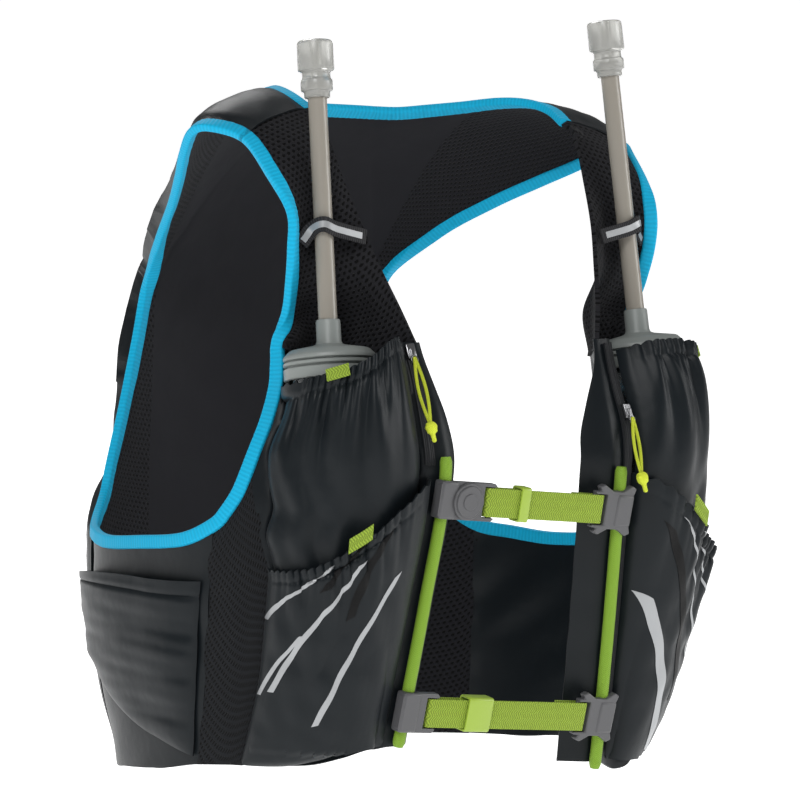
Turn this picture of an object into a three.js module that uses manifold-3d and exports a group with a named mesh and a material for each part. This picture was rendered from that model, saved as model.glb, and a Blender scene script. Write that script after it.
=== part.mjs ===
// Running hydration vest, shown as worn on a body that isn't there.
// Millimetres. +X is the wearer's left, -Y the front, +Z up.
// The origin is midway between the shoulders, at the inner side of the shoulder tops.
import * as THREE from 'three';
import Module from 'manifold-3d';

const wasm = await Module();
wasm.setup();

// Driving sizes
const WALL = 1.2; // panel cloth
const STRAP_WALL = 2.4; // spacer mesh of the shoulder straps
const LAYER_GAP = 0.8; // between two layers that are sewn together
const BINDING_IN = 4.4; // how far a binding covers the cloth
const BINDING_OUT = 2.8; // how far it stands past the cloth's edge
const BINDING_BACK = 1.0; // below the inner side of the cloth
const BINDING_FRONT = 3.6; // above the inner side of the cloth
const FIT = 0.3; // clearance round pieces that hold each other
const FLASK_HALF_WIDTH = 26;
const FLASK_HALF_DEPTH = 16.5;
const FLASK_LIFT = -3.5; // middle of the flask against the body form
const FLASK_WALL = 1.2;
const FLASK_FOOT = -298;
const POCKET_DEPTH = 18; // pocket front ahead of the body form
const POCKET_SINK = 24; // panel behind a flask, inside the body form
const CAP_RADIUS = 24;
const STRAW_RADIUS = 4.9;
const STRAW_BORE = 3.3;
const RAIL_RADIUS = 3.2;
const WEBBING_WIDTH = 15;
const WEBBING_THICK = 1.3;
const SAG = 20; // how far the left front corner hangs
const BACK_SEAM = 128.5; // degrees from the front centre

// Body form: the inner side of the cloth at each height
//  height, half width, front depth, back depth, power at the back
const FORM = [
  [6, 128, 0.5, 78, 1.1],
  [0, 138, 14, 82, 1.1],
  [-14, 144, 32, 90, 1.3],
  [-50, 148, 58, 110, 1.75],
  [-110, 150, 88, 139, 2.8],
  [-175, 152, 118, 141, 2.5],
  [-245, 152, 113, 134, 2.8],
  [-290, 151, 109, 130, 2.7],
  [-345, 148, 104, 124, 2.15],
  [-365, 147, 102, 122, 2],
];
const FRONT_POWER = 2.5;
// The front edge of the armhole runs inside the body form near the flask: height and inset
const INSET = [
  [-100, 18], [-113, 17.5], [-134, 16.2], [-150, 13],
  [-172, 7.5], [-206, 1.5], [-235, 0], [-260, 0],
];

// Hem height against the angle from the front centre
const HEM = [
  [0, -318], [24, -320], [35, -327], [45, -331], [63, -333], [76, -336],
  [90, -343], [103, -348], [120, -352], [150, -354], [180, -354],
];
// Front edge, rail and side seams: height and angle
const FRONT_EDGE = [[-113, 17.7], [-150, 16.8], [-176, 16.4], [-243, 18.2], [-319, 21.2], [-360, 23]];
const MESH_FRONT = [
  [-113, 54.8], [-134, 58.8], [-150, 62], [-172, 66],
  [-206, 61.5], [-235, 57], [-277, 57.5], [-345, 63.5],
];
const MESH_BACK = [[-205, 75.2], [-270, 74.6], [-345, 76]];
// Lower edge of the armhole
const ARM_LOW = [
  [66, -172], [69, -192], [72, -203.5], [75.2, -210.5], [84, -220],
  [94, -226.5], [106, -231], [118, -230.5], [128.5, -228],
];
// Back edge of the armhole below the yoke: height and distance from the centre
const ARM_BACK = [[-105, 79], [-125, 82], [-150, 89], [-175, 98], [-200, 107.5], [-223, 116]];
// Rows of the shoulder strap, from the shoulder seam down: inner edge, outer edge, bulge
const STRAP = [
  { inner: [84, -17, -3], outer: [126, -21, -18], bulge: 3 },
  { inner: [83, -30, -14], outer: [122.5, -39, -33], bulge: 2 },
  { inner: [80, -43, -35], outer: [119.5, -53, -50], bulge: -4.5 },
  { inner: [75.5, -56, -56], outer: [118.5, -54, -67], bulge: -7 },
  { inner: [70, -67, -76], outer: [116, -51, -84], bulge: -8 },
  { inner: [64, -78, -96], outer: [114.5, -47, -100], bulge: -17 },
];
// Yoke from the shoulder seam to the centre of the back: neck edge, armhole edge
const YOKE = [
  { neck: [84, -17, -3], outer: [126, -21, -18] },
  { neck: [85.5, -3, 2.5], outer: [135, -4, -14] },
  { neck: [83, 13, 5], outer: [137, 9, -17] },
  { neck: [76, 30, 4], outer: [130, 26, -28] },
  { neck: [65, 49, 0], outer: [119, 45, -40] },
  { neck: [53, 62, -3], outer: [106, 69, -55] },
  { neck: [40, 71, -5.5], outer: [92, 99, -75] },
];
// Columns near the centre: neck x, y, z and the x of the lower end
const YOKE_MIDDLE = [
  [30, 77, -6, 79], [26, 78.3, -6, 71], [19, 80.3, -6, 50],
  [10, 81.6, -6, 25], [0, 82, -6, 0],
];

const SIDES = [
  {
    name: 'right', s: -1, raise: 0, valve: 114.5, zipEnd: -173, lowerStart: 5,
    placket: 6, railTop: -169, railEnd: -319, upper: -189.5, lower: -300, slider: -119,
    hem: [[20, -113], [23, -114.5], [27, -118], [34, -128.5], [40, -134], [50, -135.5], [60, -134]],
    upperTab: 41, lowerTab: 37, cord: [1.5, 5, 41],
  },
  {
    name: 'left', s: 1, raise: 3, valve: 125, zipEnd: -298, lowerStart: 6.2,
    placket: 15, railTop: -175, railEnd: -322, upper: -196, lower: -297, slider: -150,
    hem: [[20, -120], [23, -121], [27, -121.5], [34, -123], [40, -125], [50, -129], [60, -131]],
    upperTab: 46, lowerTab: 33, cord: [5, 3, 35],
  },
];

// Colours
const NYLON = { color: 0x1b2226, roughness: 0.55, metalness: 0 };
const LINING = { color: 0x2a2a30, roughness: 0.8, metalness: 0 };
const MESH = { color: 0x17181a, roughness: 0.9, metalness: 0 };
const CYAN = { color: 0x14a8d8, roughness: 0.7, metalness: 0 };
const LIME = { color: 0x9ab833, roughness: 0.75, metalness: 0 };
const RAIL = { color: 0x86b02a, roughness: 0.45, metalness: 0 };
const HARDWARE = { color: 0x5c5e60, roughness: 0.4, metalness: 0 };
const CAP = { color: 0x878b88, roughness: 0.45, metalness: 0 };
const CLEAR = { color: 0xc9c8bf, roughness: 0.25, metalness: 0 };
const FLASK = { color: 0xb9c0c2, roughness: 0.3, metalness: 0 };
const REFLECT = { color: 0xa0a0a0, roughness: 0.35, metalness: 0.3 };
const ZIP = { color: 0x121416, roughness: 0.7, metalness: 0 };
const METAL = { color: 0x6f7073, roughness: 0.3, metalness: 0.9 };
const YELLOW = { color: 0xd8e030, roughness: 0.7, metalness: 0 };

const RAD = Math.PI / 180;
const vec = (x, y, z) => new THREE.Vector3(x, y, z);
const from = (a) => vec(a[0], a[1], a[2]);
const mix = (a, b, t) => a + (b - a) * t;
const mixVec = (a, b, t) => a.clone().lerp(b, t);
const clamp01 = (t) => Math.min(1, Math.max(0, t));
const ease = (t) => clamp01(t) ** 2 * (3 - 2 * clamp01(t));

// Value of a table at x, through its points without overshoot
function curve(table, x, column = 1) {
  const rows = table[0][0] < table[1][0] ? table : [...table].reverse();
  const n = rows.length;
  const at = Math.min(Math.max(x, rows[0][0]), rows[n - 1][0]);
  const step = (i) => rows[i + 1][0] - rows[i][0];
  const slope = (i) => (rows[i + 1][column] - rows[i][column]) / step(i);
  const bend = (i) => {
    if (i === 0) return slope(0);
    if (i === n - 1) return slope(n - 2);
    const a = slope(i - 1);
    const b = slope(i);
    return a * b <= 0 ? 0 : (2 * a * b) / (a + b);
  };
  let k = 0;
  while (k < n - 2 && at > rows[k + 1][0]) k += 1;
  const h = step(k);
  const t = (at - rows[k][0]) / h;
  return (2 * t ** 3 - 3 * t ** 2 + 1) * rows[k][column] + (t ** 3 - 2 * t ** 2 + t) * h * bend(k)
    + (3 * t ** 2 - 2 * t ** 3) * rows[k + 1][column] + (t ** 3 - t ** 2) * h * bend(k + 1);
}

// A point of the body form; lift is measured along its normal
function form(angle, z, lift = 0) {
  const at = (a, h) => {
    const s = Math.sin(a * RAD);
    const c = Math.cos(a * RAD);
    const power = c > 0 ? FRONT_POWER : curve(FORM, h, 4);
    const depth = c > 0 ? curve(FORM, h, 2) : curve(FORM, h, 3);
    const x = curve(FORM, h, 1) * Math.sign(s) * Math.abs(s) ** (2 / power);
    return vec(x, -depth * Math.sign(c) * Math.abs(c) ** (2 / power), h);
  };
  const p = at(angle, z);
  if (lift === 0) return p;
  const across = at(angle + 1, z).sub(at(angle - 1, z));
  const down = at(angle, z - 2).sub(at(angle, z + 2));
  return p.addScaledVector(down.cross(across).normalize(), lift);
}

// The same, with the inset beside the flask
function body(angle, z, lift = 0) {
  return form(angle, z, lift - curve(INSET, z) * ease((angle - 36) / 20));
}

// The angle at which the back of the form is this far from the centre
function backAngle(x, z) {
  const share = clamp01(x / curve(FORM, z, 1));
  return 180 - Math.asin(share ** (curve(FORM, z, 4) / 2)) / RAD;
}

// The left front corner hangs lower and closer to the body
function settle(p) {
  p.z -= 0.03 * p.x * ease((p.z + 70) / 60);
  const beside = ease((p.x - 60) / 50) * ease((20 + p.y) / 50);
  p.z -= 9 * beside * ease((-150 - p.z) / 60) * ease((325 + p.z) / 60);
  const front = ease((-15 - p.y) / 50) * ease((140 - p.x) / 50) * ease((p.x + 10) / 40);
  const low = clamp01((-110 - p.z) / 230) ** 2;
  const inward = ease((40 - p.y) / 60) * ease(p.x / 60);
  const facing = ease((105 - p.x) / 45) * ease((-60 - p.y) / 30) * ease((p.x - 15) / 30);
  p.x -= 4.5 * facing * ease((-105 - p.z) / 40);
  p.z -= SAG * front * low;
  const share = 1 - 0.06 * inward * low;
  p.x *= share;
  p.y *= share;
  return p;
}

// Solids: points and outward triangles

function solid(points, faces) {
  let volume = 0;
  for (const [a, b, c] of faces) volume += points[a].dot(points[b].clone().cross(points[c]));
  const mesh = new wasm.Mesh({
    numProp: 3,
    vertProperties: new Float32Array(points.flatMap((p) => [p.x, p.y, p.z])),
    triVerts: new Uint32Array(faces.flatMap(([a, b, c]) => (volume < 0 ? [a, c, b] : [a, b, c]))),
  });
  return new wasm.Manifold(mesh);
}

// Cloth: a grid of points on its inner side, thickened outward
function cloth(grid, thick) {
  const index = new Map();
  const inner = [];
  const id = (r, c) => {
    const p = grid[r][c];
    const key = [p.x, p.y, p.z].map((v) => v.toFixed(3)).join();
    if (!index.has(key)) {
      index.set(key, inner.length);
      inner.push(p.clone());
    }
    return index.get(key);
  };
  const triangles = [];
  for (let r = 0; r < grid.length - 1; r += 1) {
    for (let c = 0; c < Math.min(grid[r].length, grid[r + 1].length) - 1; c += 1) {
      const [a, b, d, e] = [id(r, c), id(r, c + 1), id(r + 1, c + 1), id(r + 1, c)];
      const short = inner[a].distanceTo(inner[d]) < inner[b].distanceTo(inner[e]);
      const pair = short ? [[a, b, d], [a, d, e]] : [[a, b, e], [b, d, e]];
      for (const t of pair) if (new Set(t).size === 3) triangles.push(t);
    }
  }
  return thicken(inner, triangles, thick);
}

function thicken(inner, triangles, thick) {
  const normals = inner.map(() => vec(0, 0, 0));
  for (const [a, b, c] of triangles) {
    const n = inner[b].clone().sub(inner[a]).cross(inner[c].clone().sub(inner[a]));
    for (const i of [a, b, c]) normals[i].add(n);
  }
  const n = inner.length;
  const outer = inner.map((p, i) => p.clone().addScaledVector(normals[i].normalize(), thick));
  const faces = [];
  const edges = new Map();
  for (const [a, b, c] of triangles) {
    faces.push([a + n, b + n, c + n], [a, c, b]);
    for (const [u, v] of [[a, b], [b, c], [c, a]]) {
      if (edges.has(`${v},${u}`)) edges.delete(`${v},${u}`);
      else edges.set(`${u},${v}`, [u, v]);
    }
  }
  for (const [u, v] of edges.values()) faces.push([u, v, v + n], [u, v + n, u + n]);
  return solid([...inner, ...outer], faces);
}

// A run of equal rings, closed on itself or with flat ends
function loft(rings, closed = false) {
  const n = rings[0].length;
  const points = rings.flat();
  const faces = [];
  const count = closed ? rings.length : rings.length - 1;
  for (let r = 0; r < count; r += 1) {
    const a = r * n;
    const b = ((r + 1) % rings.length) * n;
    for (let i = 0; i < n; i += 1) {
      const j = (i + 1) % n;
      faces.push([a + i, a + j, b + j], [a + i, b + j, b + i]);
    }
  }
  if (!closed) {
    const last = (rings.length - 1) * n;
    for (let i = 1; i < n - 1; i += 1) faces.push([0, i + 1, i], [last, last + i, last + i + 1]);
  }
  return solid(points, faces);
}

// A section of pairs (along the cloth, out of the cloth) carried along stations
function band(stations, section, closed = false) {
  return loft(stations.map(({ p, w, n }) => section.map(
    ([a, b]) => p.clone().addScaledVector(w, a).addScaledVector(n, b),
  )), closed);
}

// Turned piece: closed outline of pairs (radius, height) that stays off the axis
function turned(outline, sides, place) {
  const rings = [];
  for (let i = 0; i < sides; i += 1) {
    const a = (i / sides) * 2 * Math.PI;
    rings.push(outline.map(([r, h]) => place(r * Math.cos(a), r * Math.sin(a), h)));
  }
  return loft(rings, true);
}

// Flat outline in (a, c), given thickness along b, placed by a function
function plate(given, low, high, place) {
  const flat = given.map(([a, c]) => new THREE.Vector2(a, c));
  const outline = THREE.ShapeUtils.isClockWise(flat) ? [...given].reverse() : given;
  const faces = THREE.ShapeUtils.triangulateShape(outline.map(([a, c]) => new THREE.Vector2(a, c)), []);
  const n = outline.length;
  const face = (b) => outline.map(([a, c]) => place(a, b, c));
  const points = [...face(low), ...face(high)];
  const all = [];
  for (const [a, b, c] of faces) all.push([a, c, b], [a + n, b + n, c + n]);
  for (let i = 0; i < n; i += 1) {
    const j = (i + 1) % n;
    all.push([i, j, j + n], [i, j + n, i + n]);
  }
  return solid(points, all);
}

function block(a0, a1, b0, b1, c0, c1, place) {
  return plate([[a0, c0], [a1, c0], [a1, c1], [a0, c1]], b0, b1, place);
}

const circle = (radius, sides, a = 0, c = 0) => Array.from({ length: sides }, (_, i) => {
  const t = ((i + 0.5) / sides) * 2 * Math.PI;
  return [a + radius * Math.cos(t), c + radius * Math.sin(t)];
});

const group = new THREE.Group();
const solids = {};

function add(name, manifold, look) {
  solids[name] = { manifold, look };
}

// Walls of one side

const SINK_ANGLE = [[-113, 39.5], [-175, 40.2], [-235, 40.2], [-330, 43]];
const flaskAngle = (z) => curve(SINK_ANGLE, z);
const edgeAngle = (z) => curve(FRONT_EDGE, z);
const meshFront = (z) => curve(MESH_FRONT, z);
const hem = (angle) => curve(HEM, Math.abs(angle));

// Angle at a distance in millimetres along the form from another angle
function along(angle, z, distance) {
  const a = form(angle, z);
  const b = form(angle + 0.5, z);
  return angle + (0.5 * distance) / a.distanceTo(b);
}

// Share of the flask's bulge at an angle, between the edges of its pocket
function bulge(angle, z, start, end) {
  const centre = flaskAngle(z);
  const share = angle < centre ? (centre - angle) / (centre - start) : (angle - centre) / (end - centre);
  return Math.max(0, 1 - Math.min(1, share) ** 2.2) ** 0.5;
}

const railAngle = (z) => edgeAngle(z) + 1.5;
const zipStart = (z) => edgeAngle(z) + mix(1.9, 3.4, ease((-116 - z) / 44));
const pocketStart = (z) => zipStart(z) + 4;
const pocketEnd = (z) => along(meshFront(z), z, mix(-4, -11.8, ease((z + 215) / 20)));
const SINK = [
  [-100, 27], [-113, POCKET_SINK + 5.5], [-136, POCKET_SINK + 6], [-155, POCKET_SINK + 2.5],
  [-175, POCKET_SINK + 1], [-290, POCKET_SINK], [-312, 10], [-330, 0],
];
const DEPTH = [
  [-100, POCKET_DEPTH + 6], [-134, POCKET_DEPTH + 5], [-175, POCKET_DEPTH], [-240, POCKET_DEPTH - 1.5],
  [-285, POCKET_DEPTH - 4], [-306, 10], [-330, 2.4],
];
const sink = (angle, z) => curve(SINK, z) * bulge(angle, z, pocketStart(z) - 1.2, pocketEnd(z) + 1);

const HEM_LOWER = [[16, -178], [20, -181], [25, -191], [31, -204], [38, -216], [47, -225], [58, -229]];
const MESH_ROWS = [-172, -206, -235, -270, -302, -333];
const MESH_BACK_ROWS = [-210.5, -232, -256, -283, -311, -336];
const SIDE_BACK_ROWS = [-228, -246, -271, -299, -327, -353.5];
const PANEL_ROWS = [-113.4, -123, -136, -154, -172, -206, -235, -270, -302];

// The straw's line, with the cap turned about it
for (const side of SIDES) {
  const { s, raise } = side;
  const base = vec(s * 101, -66, -103 + raise);
  const up = vec(s * -5, 30, 136).normalize();
  const wide = vec(s * 0.8, 0.6, 0).addScaledVector(up, -up.dot(vec(s * 0.8, 0.6, 0))).normalize();
  const out = wide.clone().cross(up).normalize();
  if (out.y > 0) out.negate();
  Object.assign(side, { base, up, wide, out });
  side.straw = (x, y, h) => {
    const p = base.clone().addScaledVector(wide, x).addScaledVector(out, y);
    return p.addScaledVector(up, h);
  };
}

// Moves a point out of the room of the flask's cap
function clearCap(side, p, gap) {
  const from = p.clone().sub(side.base);
  const h = from.dot(side.up);
  const axis = side.base.clone().addScaledVector(side.up, h);
  const radial = p.clone().sub(axis);
  const need = (CAP_RADIUS + gap) * ease((h + 52) / 14) * ease((-5 - h) / 8);
  return radial.length() < need ? axis.addScaledVector(radial.normalize(), need) : p;
}

for (const side of SIDES) {
  const { name, s } = side;
  const flip = (p) => vec(s * p.x, p.y, p.z);
  const set = (grid, gap = 0) => {
    const rows = grid.map((row) => row.map((p) => {
      const q = settle(flip(p));
      return gap > 0 ? clearCap(side, q, gap) : q;
    }));
    return s > 0 ? rows.map((row) => row.reverse()) : rows;
  };
  side.set = set;

  // Front panel, with the placket that turns inward past the rail
  const shares = [0, 0.09, 0.17, 0.22, 0.3, 0.42, 0.56, 0.7, 0.84, 0.93, 1];
  const panelRow = (z, level = true) => {
    const start = edgeAngle(z) + 0.4;
    const end = meshFront(z);
    const row = shares.map((u) => {
      const angle = mix(start, end, u);
      const h = level ? z : hem(angle);
      return body(angle, h, -sink(angle, h));
    });
    const tuck = side.placket * ease((-118 - z) / 50) + 1.2;
    row.unshift(row[0].clone().add(vec(-0.87 * tuck, 0.5 * tuck, 0)));
    return row;
  };
  const panelRows = PANEL_ROWS.map((z) => panelRow(z));
  panelRows.push(panelRow(-326, false));
  side.panelRows = panelRows;

  // Shoulder strap
  const strapShares = [0, 0.165, 0.27, 0.39, 0.54, 0.7, 0.84, 0.925, 1];
  const strapRows = STRAP.map(({ inner, outer, bulge: high }, i) => {
    const next = STRAP[Math.min(i + 1, STRAP.length - 1)];
    const last = STRAP[Math.max(i - 1, 0)];
    const a = from(inner);
    const b = from(outer);
    const down = from(next.inner).sub(from(last.inner));
    const out = down.cross(b.clone().sub(a)).normalize();
    return strapShares.map((u) => {
      const off = u < 0.58 ? (0.58 - u) / 0.44 : (u - 0.58) / 0.38;
      const hump = high > 0 ? 4 * u * (1 - u) : Math.max(0, 1 - Math.min(1, off) ** 2.2) ** 0.5;
      return mixVec(a, b, u).addScaledVector(out, high * hump);
    });
  });
  strapRows.push(strapShares.map((u) => {
    const angle = mix(edgeAngle(-112.4) + 0.4, meshFront(-112.4), u);
    return body(angle, -112.4, -sink(angle, -112.4));
  }));
  side.strapRows = strapRows;

  // Side mesh between the front panel and the side panel
  const meshGrid = MESH_ROWS.map((z, r) => {
    const t = r / (MESH_ROWS.length - 1);
    const zb = MESH_BACK_ROWS[r];
    const row = [0, 1, 2, 3].map((c) => {
      const u = c / 3;
      const gap = 0.2 * (1 - 2 * u) * (r === 0 ? 0.5 : 1);
      let angle = mix(meshFront(z), curve(MESH_BACK, zb), u) + gap;
      let h = mix(z, zb, u);
      const top = ARM_LOW[c];
      const plain = [mix(66, 75.2, u), mix(-172, -210.5, u)];
      angle += (top[0] - plain[0]) * (1 - t) ** 2;
      h += (top[1] - plain[1]) * (1 - t) ** 2;
      if (r === MESH_ROWS.length - 1) h = hem(angle);
      return body(angle, h);
    });
    return row;
  });
  side.meshGrid = meshGrid;

  // Side panel from the mesh to the back
  const sideAngles = [75.2, 84, 94, 106, 118, 128.5];
  const sideGrid = MESH_BACK_ROWS.map((z, r) => {
    const t = r / (MESH_BACK_ROWS.length - 1);
    return sideAngles.map((a, c) => {
      const u = c / (sideAngles.length - 1);
      const lean = (curve(MESH_BACK, z) - 75.2) * (1 - u);
      const angle = a + lean + 0.2 * (1 - 2 * u);
      let h = mix(z, SIDE_BACK_ROWS[r], u);
      const plain = mix(-210.5, -223, u);
      h += (ARM_LOW[3 + c][1] - plain) * (1 - t) ** 2;
      if (r === MESH_BACK_ROWS.length - 1) h = hem(angle);
      return body(angle, h);
    });
  });
  side.sideGrid = sideGrid;

  // Side pocket
  const MOUTH = [[76, -240], [90, -243], [105, -247], [121, -252], [129, -254]];
  const FOOT = [[76, -332], [89.5, -325], [107, -309], [121.5, -287], [127.5, -268]];
  const pocketAngles = [77, 84, 94, 106, 117, 126.5];
  const sidePocket = [0, 0.25, 0.5, 0.75, 1].map((t) => pocketAngles.map((angle, c) => {
    const u = c / (pocketAngles.length - 1);
    const h = mix(curve(MOUTH, angle), curve(FOOT, angle), t);
    const belly = Math.sin(Math.PI * u) ** 0.6 * Math.cos((t * Math.PI) / 2) ** 0.6;
    return form(angle, h, WALL + LAYER_GAP + 9 * belly);
  }));
  side.sidePocket = sidePocket;

  // Upper pocket, over the flask
  const upperHem = (angle) => curve(side.hem, angle);
  const pocketShares = [0, 0.07, 0.19, 0.32, 0.46, 0.6, 0.74, 0.86, 0.95, 1];
  const pocketLift = (angle, z, start, end, depth) => WALL + LAYER_GAP + depth * bulge(angle, z, start, end);
  const upperRows = [0, 0.07, 0.2, 0.38, 0.56, 0.74, 0.89, 1];
  const upperPocket = upperRows.map((t) => pocketShares.map((u) => {
    const guess = mix(22, 56, u);
    const h = mix(upperHem(guess), -309, t);
    const start = pocketStart(h);
    const end = pocketEnd(h);
    const angle = mix(start, end, u);
    const fold = (t > 0.02 && t < 0.9 ? 1.3 : 0.5) * Math.cos(u * 8 * Math.PI) * Math.sin(Math.PI * u);
    return body(angle, h, pocketLift(angle, h, start, end, curve(DEPTH, h) + fold));
  }));
  side.upperPocket = upperPocket;

  // Lower pocket, over the foot of the upper one
  const lowerRows = [0, 0.08, 0.3, 0.52, 0.72, 0.88, 1];
  const lowerPocket = lowerRows.map((t) => pocketShares.map((u) => {
    const guess = mix(18.5, 57, u);
    const h = mix(curve(HEM_LOWER, guess), hem(guess) + 0.5, t);
    const start = edgeAngle(h) + side.lowerStart;
    const end = along(meshFront(h), h, -1.2);
    const angle = mix(start, end, u);
    const roomy = 6.5 * (1 - t) ** 1.5 + 1.9;
    const fall = Math.sqrt(1 - t ** 3.2);
    const fold = 1.2 * Math.cos(u * 6 * Math.PI + 1) * Math.sin(Math.PI * u) * (t < 0.9 ? 1 : 0);
    const depth = (curve(DEPTH, Math.max(h, -285)) + roomy + fold) * fall;
    const own = depth * bulge(angle, h, start, end);
    const under = h > -322 ? curve(DEPTH, h) * bulge(angle, h, pocketStart(h), pocketEnd(h)) : 0;
    const clear = 1 + LAYER_GAP + 1.6;
    return body(angle, h, WALL + LAYER_GAP + Math.max(own, under > 0 ? under + clear : 0));
  }));
  side.lowerPocket = lowerPocket;

  // Zip along the front edge
  const zipRows = [-116, ...PANEL_ROWS.slice(1)].filter((z) => z > side.zipEnd + 4);
  zipRows.push(side.zipEnd);
  const zipGrid = zipRows.map((z) => [0, 1.1, 2.2].map((k) => body(zipStart(z) + k, z, WALL + 0.8)));

  add(`shoulder_strap_${name}`, cloth(set(strapRows, STRAP_WALL + 1), STRAP_WALL), MESH);
  add(`front_panel_${name}`, cloth(set(panelRows, WALL + 1.4), WALL), NYLON);
  add(`side_mesh_${name}`, cloth(set(meshGrid), WALL), MESH);
  add(`side_panel_${name}`, cloth(set(sideGrid), WALL), NYLON);
  add(`side_pocket_${name}`, cloth(set(sidePocket), WALL), NYLON);
  add(`upper_pocket_${name}`, cloth(set(upperPocket, 0.9), 1), NYLON);
  add(`lower_pocket_${name}`, cloth(set(lowerPocket), 1), NYLON);
  add(`zip_${name}`, cloth(set(zipGrid), 1.1), ZIP);
}

// Back: lining and outer shell, from one shoulder seam round the neck to the other

const yokeColumns = [
  ...YOKE.map(({ neck, outer }) => ({ neck: from(neck), outer: from(outer) })),
  ...YOKE_MIDDLE.map(([x, y, z, end]) => ({ neck: vec(x, y, z), outer: form(backAngle(end, -105), -105) })),
];

function backGrid(shell) {
  const across = shell ? [0, 0.07, 0.35, 0.68, 0.95, 1] : [0, 0.35, 0.68, 1];
  const half = [];
  for (let i = 0; i < yokeColumns.length; i += 1) {
    const { neck, outer } = yokeColumns[i];
    const before = yokeColumns[Math.max(i - 1, 0)];
    const after = yokeColumns[Math.min(i + 1, yokeColumns.length - 1)];
    const run = mixVec(after.neck, after.outer, 0.5).sub(mixVec(before.neck, before.outer, 0.5));
    const span = outer.clone().sub(neck);
    const out = span.clone().cross(run).normalize();
    if (out.z + out.y < 0) out.negate();
    const reach = span.clone().normalize();
    const isArm = i < YOKE.length;
    half.push(across.map((v, k) => {
      const high = 4 * v * (1 - v) * (i < 4 ? 3 + i : 7);
      const p = mixVec(neck, outer, v).addScaledVector(out, high);
      if (!shell) return p;
      const start = i < 6 ? 0.15 + 0.5 * ease((i - 1) / 6) : ease((i - 1) / 6);
      const puff = [0, 3, 6, 8, 8, isArm || i === YOKE.length ? 0 : 14][k] * start;
      p.addScaledVector(out, WALL + LAYER_GAP + puff);
      if (isArm && k === 4) p.addScaledVector(reach, 3 * start);
      return p;
    }));
  }
  return half;
}

const BACK_ROWS = [-105, -135, -170, -200, -228, -271, -312, -340, -353.5];

function backPiece(shell, thick) {
  const half = backGrid(shell);
  const mirrored = (p) => vec(-p.x, p.y, p.z);
  const columns = [...half.map((column) => column.map(mirrored)), ...half.slice(0, -1).reverse()];
  const last = columns[0].length - 1;
  // Upper part: one row for each share across, then the lower part under the middle columns
  const grid = [];
  for (let k = 0; k <= last; k += 1) grid.push(columns.map((column) => column[k].clone()));
  const first = YOKE.length;
  const count = columns.length - 2 * first;
  const lower = BACK_ROWS.slice(1).map((z, r) => {
    const edge = z > -224 ? backAngle(curve(ARM_BACK, z), z) : BACK_SEAM + 0.25;
    return Array.from({ length: count }, (_, c) => {
      const k = c - (YOKE_MIDDLE.length - 1);
      const u = (Math.sign(k) * YOKE_MIDDLE[YOKE_MIDDLE.length - 1 - Math.abs(k)][3]) / YOKE_MIDDLE[0][3];
      const angle = (u < 0 ? -1 : 1) * (180 - Math.abs(u) * (180 - edge));
      const h = r === BACK_ROWS.length - 2 ? hem(180 - Math.abs(u) * (180 - edge)) : z;
      const p = form(angle, h);
      if (!shell) return p;
      if (Math.abs(u) > 0.99) return form(angle, h, WALL + LAYER_GAP);
      const t = clamp01((-110 - z) / 243);
      const tail = Math.sqrt(Math.max(0, 1 - t ** 5));
      const side = Math.abs(u) > 0.8;
      const upper = ease((200 + z) / 70);
      const wide = side ? 1 + 0.06 * upper : 1;
      const out = (side ? 4 + 8 * upper : 14) * tail;
      return form((u < 0 ? -1 : 1) * (180 - Math.abs(u) * wide * (180 - edge)), h, WALL + LAYER_GAP + out);
    });
  });
  const width = columns.length;
  for (const row of lower) {
    const isBack = (c) => c >= first && c < first + count;
    grid.push(Array.from({ length: width }, (_, c) => (isBack(c) ? row[c - first] : null)));
  }
  const index = new Map();
  const points = [];
  const id = (p) => {
    const key = [p.x, p.y, p.z].map((v) => v.toFixed(3)).join();
    if (!index.has(key)) {
      index.set(key, points.length);
      points.push(settle(p.clone()));
    }
    return index.get(key);
  };
  const triangles = [];
  for (let r = 0; r < grid.length - 1; r += 1) {
    for (let c = 0; c < width - 1; c += 1) {
      const corners = [grid[r][c], grid[r][c + 1], grid[r + 1][c + 1], grid[r + 1][c]];
      if (corners.some((p) => p === null)) continue;
      const [a, b, d, e] = corners.map(id);
      const short = points[a].distanceTo(points[d]) < points[b].distanceTo(points[e]);
      const pair = short ? [[a, d, b], [a, e, d]] : [[a, e, b], [b, e, d]];
      for (const t of pair) if (new Set(t).size === 3) triangles.push(t);
    }
  }
  return { manifold: thicken(points, triangles, thick), grid, first, count };
}

const lining = backPiece(false, WALL);
const shell = backPiece(true, 1);
add('back_panel', lining.manifold, LINING);
add('back_shell', shell.manifold, NYLON);

// Bindings: a folded tape over every open edge, from stations on the cloth's own edge
function stations(list, closed) {
  const n = list.length;
  return list.map(({ p, w }, i) => {
    const before = list[closed ? (i + n - 1) % n : Math.max(0, i - 1)].p;
    const after = list[closed ? (i + 1) % n : Math.min(n - 1, i + 1)].p;
    const tangent = after.clone().sub(before).normalize();
    const into = w.clone().addScaledVector(tangent, -w.dot(tangent)).normalize();
    const out = tangent.clone().cross(into).normalize();
    const away = vec(p.x * 0.6, p.y - 10, 60 * ease((p.z + 60) / 50));
    if (out.dot(away) < 0) out.negate();
    return { p, w: into, n: out };
  });
}

const tape = (grow) => [
  [-BINDING_OUT - grow, BINDING_FRONT + grow],
  [BINDING_IN + grow, BINDING_FRONT + grow],
  [BINDING_IN + grow, -BINDING_BACK - grow],
  [-BINDING_OUT - grow, -BINDING_BACK - grow],
];

const largest = (manifold) => manifold.decompose().sort((a, b) => b.volume() - a.volume())[0];

function bind(name, list, closed, pieces) {
  const run = stations(list, closed);
  const cutter = band(run, tape(FIT), closed);
  for (const piece of pieces) solids[piece].manifold = largest(solids[piece].manifold.subtract(cutter));
  add(name, band(run, tape(0), closed), CYAN);
}

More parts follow.
